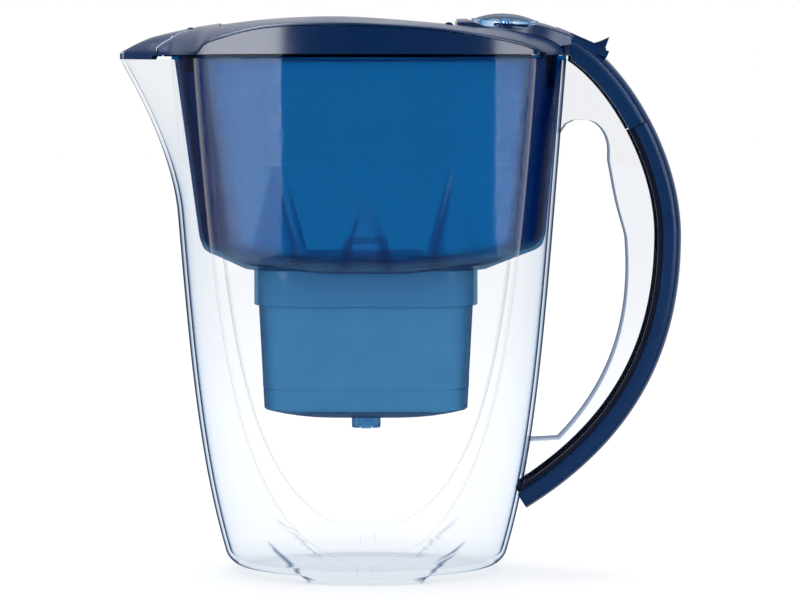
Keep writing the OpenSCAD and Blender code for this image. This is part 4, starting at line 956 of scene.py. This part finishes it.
def slide_cutters():
    recess = on_track(upright("recess", slide_outline(SLIDE_PLAY, -SLIDE_TRAVEL - SLIDE_PLAY),
                              -SLIDE_T - 0.3, 20))
    slot = block("slot", ROD_REAR - ROD_TRAVEL - 3, ROD_REAR + LEG_T + 2 * SLIDE_PLAY,
                 -LEG_HALF - SLIDE_PLAY, LEG_HALF + SLIDE_PLAY, LID_Z - 6, SLIDE_TOP[1] + 0.2)
    return recess, slot


def lid_edge(x0, x1, steps):
    return [(x, -lid_half(x)) for x in spread(x0, x1, steps)]


# Flip panel
NOTCH_Y = FLIP_HALF - 8.3
flip = plate("flip_panel", flip_outline(0, FLIP_HINGE + 2.2), [], lambda x, y: roof_z(x, y) - FLIP_DROP,
             lambda x, y: max(roof_z(x, y) - ROOF_T, LID_Z) - FLIP_DROP, r=0.7)
for y0, y1 in ((-50, -NOTCH_Y), (NOTCH_Y, 50)):
    cut(flip, block("n", FLIP_X - KNUCKLE_R - TURN_GAP, FLIP_X + 10, y0, y1, LID_Z, LID_Z + 30))
parts = [block("crank", FLIP_X - 1.2, FLIP_X + 0.4, -2.5, 2.5, FLIP_Z - 6.3, FLIP_Z - 0.8)]
parts += [bar("k", FLIP_AXIS, KNUCKLE_R, y, y + KNUCKLE_L)
          for y in (-FLIP_HALF + KNUCKLE_L + 1.3, -KNUCKLE_L / 2, FLIP_HALF - 2 * KNUCKLE_L - 1.3)]
bore([flip] + parts, FLIP_AXIS, PIN_R + PIN_PLAY)
assemble("flip_panel", [flip] + parts, SHARP, "flip_navy", "flip", "flip_lid")

# Spout flap: a strip with the whole beak at its front
PRONG_X = -99.3
BEAK_X, STRIP_X = PRONG_X - 0.6, FLAP_HINGE + 0.6
MIDDLE, EAR_L = 3.8, KNUCKLE_L - 1.5
beak_side = lid_edge(BEAK_X, -SPOUT_REACH + 0.01, 14)
flap_outline = [(BEAK_X, -FLAP_HALF), (STRIP_X, -FLAP_HALF), (STRIP_X, FLAP_HALF), (BEAK_X, FLAP_HALF)]
flap_outline += [(x, -y) for x, y in beak_side] + beak_side[::-1]
flap = plate("flap_plate", flap_outline, [], roof_z, roof_under, r=0.6, step=1.2)
cut(flap, block("n", FLAP_X - KNUCKLE_R - TURN_GAP, FLAP_X + 8, -MIDDLE, MIDDLE, LID_Z, LID_Z + 30))
ears = (MIDDLE, -MIDDLE - EAR_L)
parts = [bar("k", FLAP_AXIS, KNUCKLE_R, y, y + EAR_L) for y in ears]
parts += [block("w", FLAP_X - KNUCKLE_R - 1.4, FLAP_X - KNUCKLE_R + 1, y, y + EAR_L,
                FLAP_Z - 1.2, FLAP_Z + 0.8) for y in ears]
bore([flap] + parts, FLAP_AXIS, PIN_R + PIN_PLAY)
assemble("flap_plate", [flap] + parts, SHARP, "flap_navy", "flap", "spout_flap")

# Frame: the roof round flip panel and flap, with one hole for the dial's cup and the thumb slide's leg
STRIP_HALF, HOLE_HALF, HOLE_REAR = FLAP_HALF + SEAM, 3.9, ROD_REAR + 3.2
edge = lid_edge(PRONG_X, ROOF_REAR, 90)
frame_outline = edge + [(x, -y) for x, y in edge[::-1]]
frame_outline += [(PRONG_X, STRIP_HALF), (STRIP_X + SEAM, STRIP_HALF), (STRIP_X + SEAM, -STRIP_HALF),
                  (PRONG_X, -STRIP_HALF)]
hole_x = DIAL_X + (DIAL_FLOOR + 1) * sin(radians(DIAL_TILT))
dial_hole = [q for q in circle(hole_x, 0, POCKET_R + CUP_T + 0.3) if q[0] < hole_x or abs(q[1]) > 4.6]
dial_hole += [(HOLE_REAR, -HOLE_HALF), (HOLE_REAR, HOLE_HALF)]
frame_top = plate("frame_plate", frame_outline, [flip_outline(SEAM, HOUSING_FRONT - 0.3), dial_hole],
                  roof_z, roof_under, r=0.6)
cut(frame_top, bar("b", FLAP_AXIS, KNUCKLE_R + TURN_GAP, -STRIP_HALF, STRIP_HALF))

# Under the frame: hinge bosses with their webs, and the rear tongues
parts = []
TONGUE_X = RIM_L - JUG_WALL - RES_GAP - RES_WALL - 5.3
for y0, tongue_y in ((1 - FLIP_HALF, -9.1), (FLIP_HALF - KNUCKLE_L - 1, 4.1)):
    boss = bar("k", FLIP_AXIS, KNUCKLE_R, y0, y0 + KNUCKLE_L)
    bore([boss], FLIP_AXIS, PIN_R)
    parts += [boss, block("w", FLIP_X + KNUCKLE_R - 0.8, HOUSING_FRONT + KNUCKLE_R + 0.2,
                          y0, y0 + KNUCKLE_L, FLIP_Z - KNUCKLE_R, FLIP_Z + 0.6),
              block("t", TONGUE_X, TONGUE_X + 3, tongue_y, tongue_y + 5, RIM_Z - 13, RIM_Z + 8.8)]
knuckle = bar("k", FLAP_AXIS, KNUCKLE_R, -KNUCKLE_L / 2, KNUCKLE_L / 2)
bore([knuckle], FLAP_AXIS, PIN_R)
parts += [knuckle, block("w", FLAP_X + KNUCKLE_R - 0.8, FLAP_X + KNUCKLE_R + 2.6,
                         -LEG_HALF, LEG_HALF, FLAP_Z - 1.2, FLAP_Z + 2.1)]
# The push rod's guide: two posts, a bar below the rod and one above
low, high = ROD_Z - 3.3, roof_z(HOUSING_FRONT + 4, 0) - ROOF_T + 0.4
parts += [block("g", HOUSING_FRONT + 1, HOUSING_FRONT + 4, *span) for span in (
    (-5, -2.6, low, high), (2.6, 5, low, high), (-5, 5, low, low + 1.7), (-5, 5, ROD_Z + 1.6, high))]
# A lip that closes the gap under the rear housing
parts.append(block("l", ROOF_REAR - 0.8, TAIL_X - 0.1, -12.8, 12.8, LID_Z + 0.1, LID_Z + 5.6))
# Ribs that reach into the reservoir behind its front wall
RIB_Z, RIB_Y, RIB_W = 242.5, 19.2, 4.5
within_wall = JUG_WALL + RES_GAP + RES_WALL
rib_x = 0.5 - (oval_l(RIB_Z) - within_wall - channel(RIB_Z)) * sqrt(
    1 - (RIB_Y / (oval_w(RIB_Z) - within_wall)) ** 2)
parts += [block("r", rib_x, rib_x + 2.5, y, y + RIB_W, RIB_Z, roof_z(rib_x, RIB_Y) - ROOF_T + 0.6)
          for y in (14.7, -RIB_Y)]
for q in parts:
    bevel(q, EDGE)
assemble("frame_plate", [frame_top] + parts, SHARP, "lid_navy", "lid", "lid_frame")


# Recessed side panels
def panel_column(x, side, inset):
    y, low = lid_half(x) - 0.9 - inset, LID_Z + 0.05
    high = max(roof_z(x, lid_half(x)) - 1.35, low + 0.15)
    return [(x, side * y, mix(high, low, k / 6)) for k in range(7)]


xs = spread(18.2 - RIM_L, RIM_L - 14.5, 120)
assemble("side_panel_pair",
         [sheet_solid("panel", *([panel_column(x, side, inset) for x in xs] for inset in (0, 2)))
          for side in (-1, 1)], 50, "panel_navy", "lid", "side_panels")

# Rear housing
HOUSING_LINE = [(HOUSING_FRONT, 17.6), (DIAL_X - 15.3, 17.6), (DIAL_X + 0.7, 17.2), (SLIDE_FRONT - 9, 16.1),
                (TAIL_X, TAIL_START[1] - LID_Z + 0.1)]
HOUSING_SIDES = [(HOUSING_FRONT, 30), (DIAL_X - 7.3, 28.5), (DIAL_X + 7.7, 25), (SLIDE_FRONT - 4, 17.5),
                 (TAIL_X, GRIP_HALF)]


def housing_top(x, y):
    u = min(abs(y) / height_at(HOUSING_SIDES, x), 1)
    z = LID_Z + height_at(HOUSING_LINE, x) - 2.2 * u ** 4
    if abs(x - DIAL_X) < SCOOP_R:
        z = min(z, DIAL_Z - 4.7 + SCOOP_R - sqrt(SCOOP_R ** 2 - (x - DIAL_X) ** 2))
    if hypot(x - DIAL_X, y) < DIAL_R + 0.5:
        z = min(z, DIAL_Z - 1.6 - (x - DIAL_X) * sin(radians(DIAL_TILT)))
    return z


def housing_under(x, y):
    return min(roof_z(min(x, ROOF_REAR - 3), y) + 0.15, housing_top(x, y) - 0.4)


half = [(x, height_at(HOUSING_SIDES, x)) for x in spread(HOUSING_FRONT, TAIL_X, 40)]
housing = plate("housing_plate", [(x, -y) for x, y in half] + half[::-1],
                [circle(DIAL_X - 0.2, 0, POCKET_R)], housing_top, housing_under, r=0.6, step=1.1)
recess, slot = slide_cutters()
boolean(housing, recess)
boolean(housing, slot)
cup_out, cup_low, CUP_TOP, CUP_IN = POCKET_R + CUP_T, DIAL_FLOOR - CUP_T, -3.2, 2.0
cup = lathe("cup", [(CUP_IN, cup_low), (cup_out, cup_low), (cup_out, CUP_TOP), (POCKET_R, CUP_TOP),
                    (POCKET_R, DIAL_FLOOR), (CUP_IN, DIAL_FLOOR)], (DIAL_X, 0, DIAL_Z), tilt=DIAL_TILT)
assemble("housing_plate", [housing, cup], 40, "lid_navy", "lid", "rear_housing")

# --- Handle ---
TIP_Z = 30.5
GRIP_TIP = (oval_l(TIP_Z) + 4.4, TIP_Z)
BACK_UP = [TAIL_START, (TAIL_START[0] + 25, TAIL_START[1] - 10.5), (GRIP_REACH, GRIP_Z + 42),
           (GRIP_REACH, GRIP_Z)]
BACK_LOW = [(GRIP_REACH, GRIP_Z), (GRIP_REACH, GRIP_Z - 46), (GRIP_TIP[0] + 60.5, GRIP_TIP[1] + 38), GRIP_TIP]
COVER_T, LINER_T, SHOW, SHELL_GAP = 2.2, 1.2, 2.4, 0.1
BAND = GRIP_T + SHOW
SEAM_Z = 220.0
lo, hi = 0.0, 1.0
for _ in range(30):
    seam_t = (lo + hi) / 2
    lo, hi = (seam_t, hi) if bez(BACK_UP, seam_t)[1] > SEAM_Z else (lo, seam_t)
GRIP_WAY = [(BACK_UP, t) for t in spread(seam_t, 1, 30)] + [(BACK_LOW, i / 90) for i in range(1, 91)]
TAIL_WAY = [(BACK_UP, seam_t * i / 50 - (0.004 if i == 50 else 0)) for i in range(51)]
# Half of the band's cross-section, edge to crown, with a fine groove beside the crown
CROWN_TURN = [(0.11, 0.76), (0.06, 0.6), (0.03, 0.42), (0.008, 0.2), (0, 0)]
TURNS = [(1, 0.975), (0.985, 0.995), (0.95, 1), (0.75, 1), (0.55, 1), (0.45, 0.985), (0.37, 0.962),
         (0.31, 0.94), (0.285, 0.905), (0.265, 0.905), (0.25, 0.915), (0.19, 0.865)] + CROWN_TURN
PLAIN = [(1, 0.97), (0.97, 1), (0.75, 1), (0.55, 1), (0.4, 0.97), (0.28, 0.93), (0.19, 0.86)] + CROWN_TURN


def shell(name, way, back, depth, half_w, wall, turns=TURNS):
    """A trough along the handle's back, wall thick, from back to depth below its outline."""
    cols = turns + [(q[0], -q[1]) for q in turns[-2::-1]]

    def row(s, b, w):
        return [(x, w * q[1], z) for q in cols for x, z in (inwards(s[0], s[1], mix(b, depth, q[0])),)]
    return sheet_solid(name, [row(s, back, half_w) for s in way],
                       [row(s, back + wall, half_w - wall) for s in way], sharp=30)


def jug_form(grow):
    rings = [level(jug_plan(z, -grow), z) for z in spread(FOOT_DROP + BASE_R, RIM_Z, 30)]
    return ring_solid("form", rings + [level(jug_plan(RIM_Z, -grow), RIM_Z + 1)])


LINER_HALF = GRIP_HALF - COVER_T - SHELL_GAP
form = jug_form(SHELL_GAP)
cover = shell("grip_cover_shell", GRIP_WAY, 0, GRIP_T, GRIP_HALF, COVER_T)
# The liner shows as a near-black strip inside the cover: painted shade along the cover's inner edge
liner = shell("grip_liner_shell", GRIP_WAY, COVER_T + SHELL_GAP, BAND, LINER_HALF, LINER_T, PLAIN)
for part, slot_name, key in ((cover, "grip_navy", "grip_cover"), (liner, "liner_dark", "grip_liner")):
    boolean(part, form)
    stand_for(finish_mesh(part, 30), slot_name, "jug_body", key)
drop(form)

tail = shell("tail_shell", TAIL_WAY, 0, BAND, GRIP_HALF, COVER_T)
cut(tail, block("f", 40, TAIL_X, -90, 90, RIM_Z - 50, RIM_Z + 50))
BED_Z = -SLIDE_T - 0.3
bed = on_track(block("bed", TAIL_X - SLIDE_FRONT + 2.6, TAB_REAR + 1.5, -11.6, 11.6,
                     BED_Z - COVER_T, BED_Z + 1.2))
for q in (tail, bed):
    boolean(q, recess)
    boolean(q, slot)
drop(recess, slot)
assemble("tail_shell", [tail, bed], 30, "grip_navy", "lid", "lid_tail")

# Clear bow: full width inside the liner, narrower towards its back
BOW_HALF = LINER_HALF - LINER_T - SHELL_GAP
BOW_BACK = COVER_T + SHELL_GAP + LINER_T + SHELL_GAP
HOLE_TOP, HOLE_LOW, HOLE_IN, HOLE_END = 219.5, 64, 26.7, 0.826


def finger_outline():
    high = [inwards(BACK_UP, mix(0.62, 1, i / 24), HOLE_IN + 2.6 * sin(pi * i / 24))
            for i in range(25)]
    low = [inwards(BACK_LOW, i * HOLE_END / 40, mix(HOLE_IN, 18.0, i * HOLE_END / 40 / 0.83))
           for i in range(1, 41)]
    wall_x, wall_low = oval_l(HOLE_TOP), oval_l(HOLE_LOW)
    top_l = high[0][0] - wall_x
    arc = [(high[0][0] - top_l * 0.5 * (1 - s), HOLE_TOP - 15 * (1 - c))
           for c, s in (cos_sin(a) for a in range(0, 91, 6))]
    return arc + high + low + [
        (wall_low + 3, HOLE_LOW), (wall_low - 8, HOLE_LOW), (wall_x - 14, 207.5), (wall_x - 1.5, 212.5),
        (wall_x + top_l * 0.08, 217.5), (wall_x + top_l * 0.25, HOLE_TOP)]


def bow_outline(share):
    deep = mix(BOW_BACK, BAND, share)
    line = [(RIM_L - 20, RIM_Z), (TAIL_X + 0.8, RIM_Z)]
    for i in range(2, 15):
        back = mix(SLIDE_T + COVER_T + 1.4, BOW_BACK, i / 14)
        line.append(inwards(BACK_UP, mix(0.1, seam_t, i / 14), mix(back, BAND, share)))
    line += [inwards(BACK_UP, mix(seam_t, 1, i / 20), deep) for i in range(1, 21)]
    line += [inwards(BACK_LOW, i / 72, deep) for i in range(1, 67)]
    return line + [(oval_l(TIP_Z) - 20, 41.5)]


CORE_SHARE = 0.76
bow = prism("bow", bow_outline(0.56), -BOW_HALF, BOW_HALF)
core = prism("bow", bow_outline(0.11), -BOW_HALF * CORE_SHARE, BOW_HALF * CORE_SHARE)
boolean(bow, core, "UNION")
drop(core)
cut(bow, prism("fo", finger_outline(), -30, 30), jug_form(0))
bevel(bow, 1.2, 4, 50)
stand_for(finish_mesh(bow, 25), "bow_clear", "jug_body", "handle_bow")

# Thumb slide: plate and tab on the slanted track, and an upright leg that pushes the rod
tab_top = SLIDE_L + TAB_L * 0.63
parts = [upright("thumb", slide_outline(0, 0), -SLIDE_T, 0),
         prism("ramp", [(SLIDE_L - 0.01, -0.5), (SLIDE_L, 0), (mix(SLIDE_L, tab_top, 0.5), TAB_H * 0.42),
                        (tab_top, TAB_H), (TAB_REAR - 0.6, -0.5)], -SLIDE_HALF, SLIDE_HALF)]
for q in parts:
    bevel(q, 0.35, 3)
    on_track(q)
leg = block("leg", ROD_REAR + SLIDE_PLAY, ROD_REAR + SLIDE_PLAY + LEG_T, -LEG_HALF, LEG_HALF, ROD_Z - 2.0,
            SLIDE_TOP[1] - SLIDE_T - 0.2)
bevel(leg, EDGE)
assemble("thumb_piece", parts + [leg], 35, "slide_navy", "slide", "thumb_slide")

# --- Dial ---
DOME_H, DOME_EDGE, GLASS = 3.0, 15.0, 1.2
dome_r = (DOME_EDGE ** 2 + DOME_H ** 2) / (2 * DOME_H)


def dome(r, radius):
    return 0.6 + DOME_H - dome_r + sqrt(radius ** 2 - r ** 2)


knob_profile = [(2.06, -3.0), (3.6, -3.0), (3.6, 0.9)]
knob_profile += [(r, dome(r, dome_r - GLASS)) for r in (4.5, 7, 9.5, 11.4, 12.4)]
knob_profile += [(12.4, -3.8), (13.35, -3.8), (13.6, -3.55), (13.6, -0.6), (15.9, -0.6), (16.3, -0.3),
                 (16.3, 0.3), (15.9, 0.6), (15.0, 0.62)]
knob_profile += [(r, dome(r, dome_r)) for r in (14.2, 12.5, 10, 7.5, 5, 2.5, 0.02)]
knob_profile += [(0.02, 0.4), (2.06, 0.4)]
knob = lathe("dial_shell", knob_profile, (DIAL_X, 0, DIAL_Z), steps=96, tilt=DIAL_TILT)
stand_for(knob, "knob_clear", "dial", "dial_knob")

for key, name, width, slot_name, body in (
        ("dial_base", "dial_face", 0.12, "dial_white", "lid"),
        ("dial_pointer", "pointer_bevelled", 0.2, "pointer_dark", "dial"),
        ("dial_rivet", "rivet_bevelled", 0.3, "pin_steel", "lid"),
        ("push_rod", "rod_bevelled", 0.3, "rod_dark", "rod"),
        ("flip_hinge_pin", "flip_pin_bevelled", 0.25, "pin_steel", "lid"),
        ("spout_hinge_pin", "spout_pin_bevelled", 0.25, "pin_steel", "lid")):
    rounded(key, name, width, slot_name, body)

# --- Stage, light and camera ---
def rays(tree, *kinds):
    """1 for light rays of these kinds, else 0."""
    seen = 0.0
    for kind in kinds:
        seen = node(tree, "Math", seen, node(tree, "LightPath", out=f"Is {kind} Ray"), operation="MAXIMUM")
    return seen


scene = bpy.context.scene
scene.view_settings.view_transform = "Standard"
world = bpy.data.worlds.new("studio")
scene.world = world
world.use_nodes = True
wt = world.node_tree
back = wt.nodes["Background"]
back.inputs["Color"].default_value = (1, 1, 1, 1)

# White to the camera. What mirrors sees a white sweep behind and above, and a dim room in front of it.
ROOM_FRONT, SKY, DAYLIGHT = 0.12, 0.9, 0.6
axes = node(wt, "SeparateXYZ", node(wt, "TexCoord", out="Generated")).node.outputs
room = node(wt, "Math", smooth(wt, axes["Y"], -0.25, 0.35, ROOM_FRONT, 1.0),
            smooth(wt, axes["Z"], 0.35, 0.8, 0.0, SKY), operation="MAXIMUM")
unseen = node(wt, "Mix", out="Result", Factor=rays(wt, "Glossy", "Transmission"), A=DAYLIGHT, B=room)
shown = node(wt, "Math", rays(wt, "Camera"), unseen, operation="MAXIMUM")
wt.links.new(shown, back.inputs["Strength"])

# The floor lights itself for the eye only, so that it comes out white
FLOOR_GLOW = 0.53
mesh = bpy.data.meshes.new("floor")
mesh.from_pydata([(-6, -3, 0), (6, -3, 0), (6, 9, 0), (-6, 9, 0)], [], [(0, 1, 2, 3)])
floor = add("floor", mesh)
floor_mat, ft = fresh_material("floor_white")
glow = node(ft, "Math", rays(ft, "Camera", "Glossy", "Transmission"), FLOOR_GLOW, operation="MULTIPLY")
floor.data.materials.append(surfaced(floor_mat, node(
    ft, "AddShader", node(ft, "BsdfDiffuse", Color=(0.82, 0.83, 0.84)),
    node(ft, "Emission", Color=(1, 1, 1), Strength=glow))))


def look(obj, at, aim):
    obj.location = at
    obj.rotation_mode = "QUATERNION"
    obj.rotation_quaternion = (Vector(aim) - obj.location).to_track_quat("-Z", "Y")
    scene.collection.objects.link(obj)
    return obj


# The three large panels show in what mirrors and leave the floor and the matt surfaces alone
for name, at, aim, size, power, lit in (
        ("key", (-0.8, -0.95, 0.5), (0, 0, 0.15), (0.62, 1.3), 32, False),
        ("fill", (0.95, -0.85, 0.5), (0, 0, 0.15), (0.4, 1.3), 16, False),
        ("upper", (-0.55, -0.15, 1.15), (0, 0, 0.2), (0.5, 0.5), 26, False),
        ("top", (0, 0.25, 1.5), (0, 0, 0.15), (1.2, 0.8), 5, True)):
    lamp = bpy.data.lights.new(name, "AREA")
    lamp.shape, lamp.size, lamp.size_y, lamp.energy = "RECTANGLE", size[0], size[1], power
    look(bpy.data.objects.new(name, lamp), at, aim).visible_diffuse = lit

LENS, SENSOR, CAM_AT, CAM_AIM = 125.0, 36.0, (-0.0005, -1.35, 0.2267), (-0.0005, 0, 0.1319)
cam_data = bpy.data.cameras.new("camera")
cam_data.lens, cam_data.sensor_width = LENS, SENSOR
scene.camera = look(bpy.data.objects.new("camera", cam_data), CAM_AT, CAM_AIM)
scene.cycles.transparent_max_bounces = 32
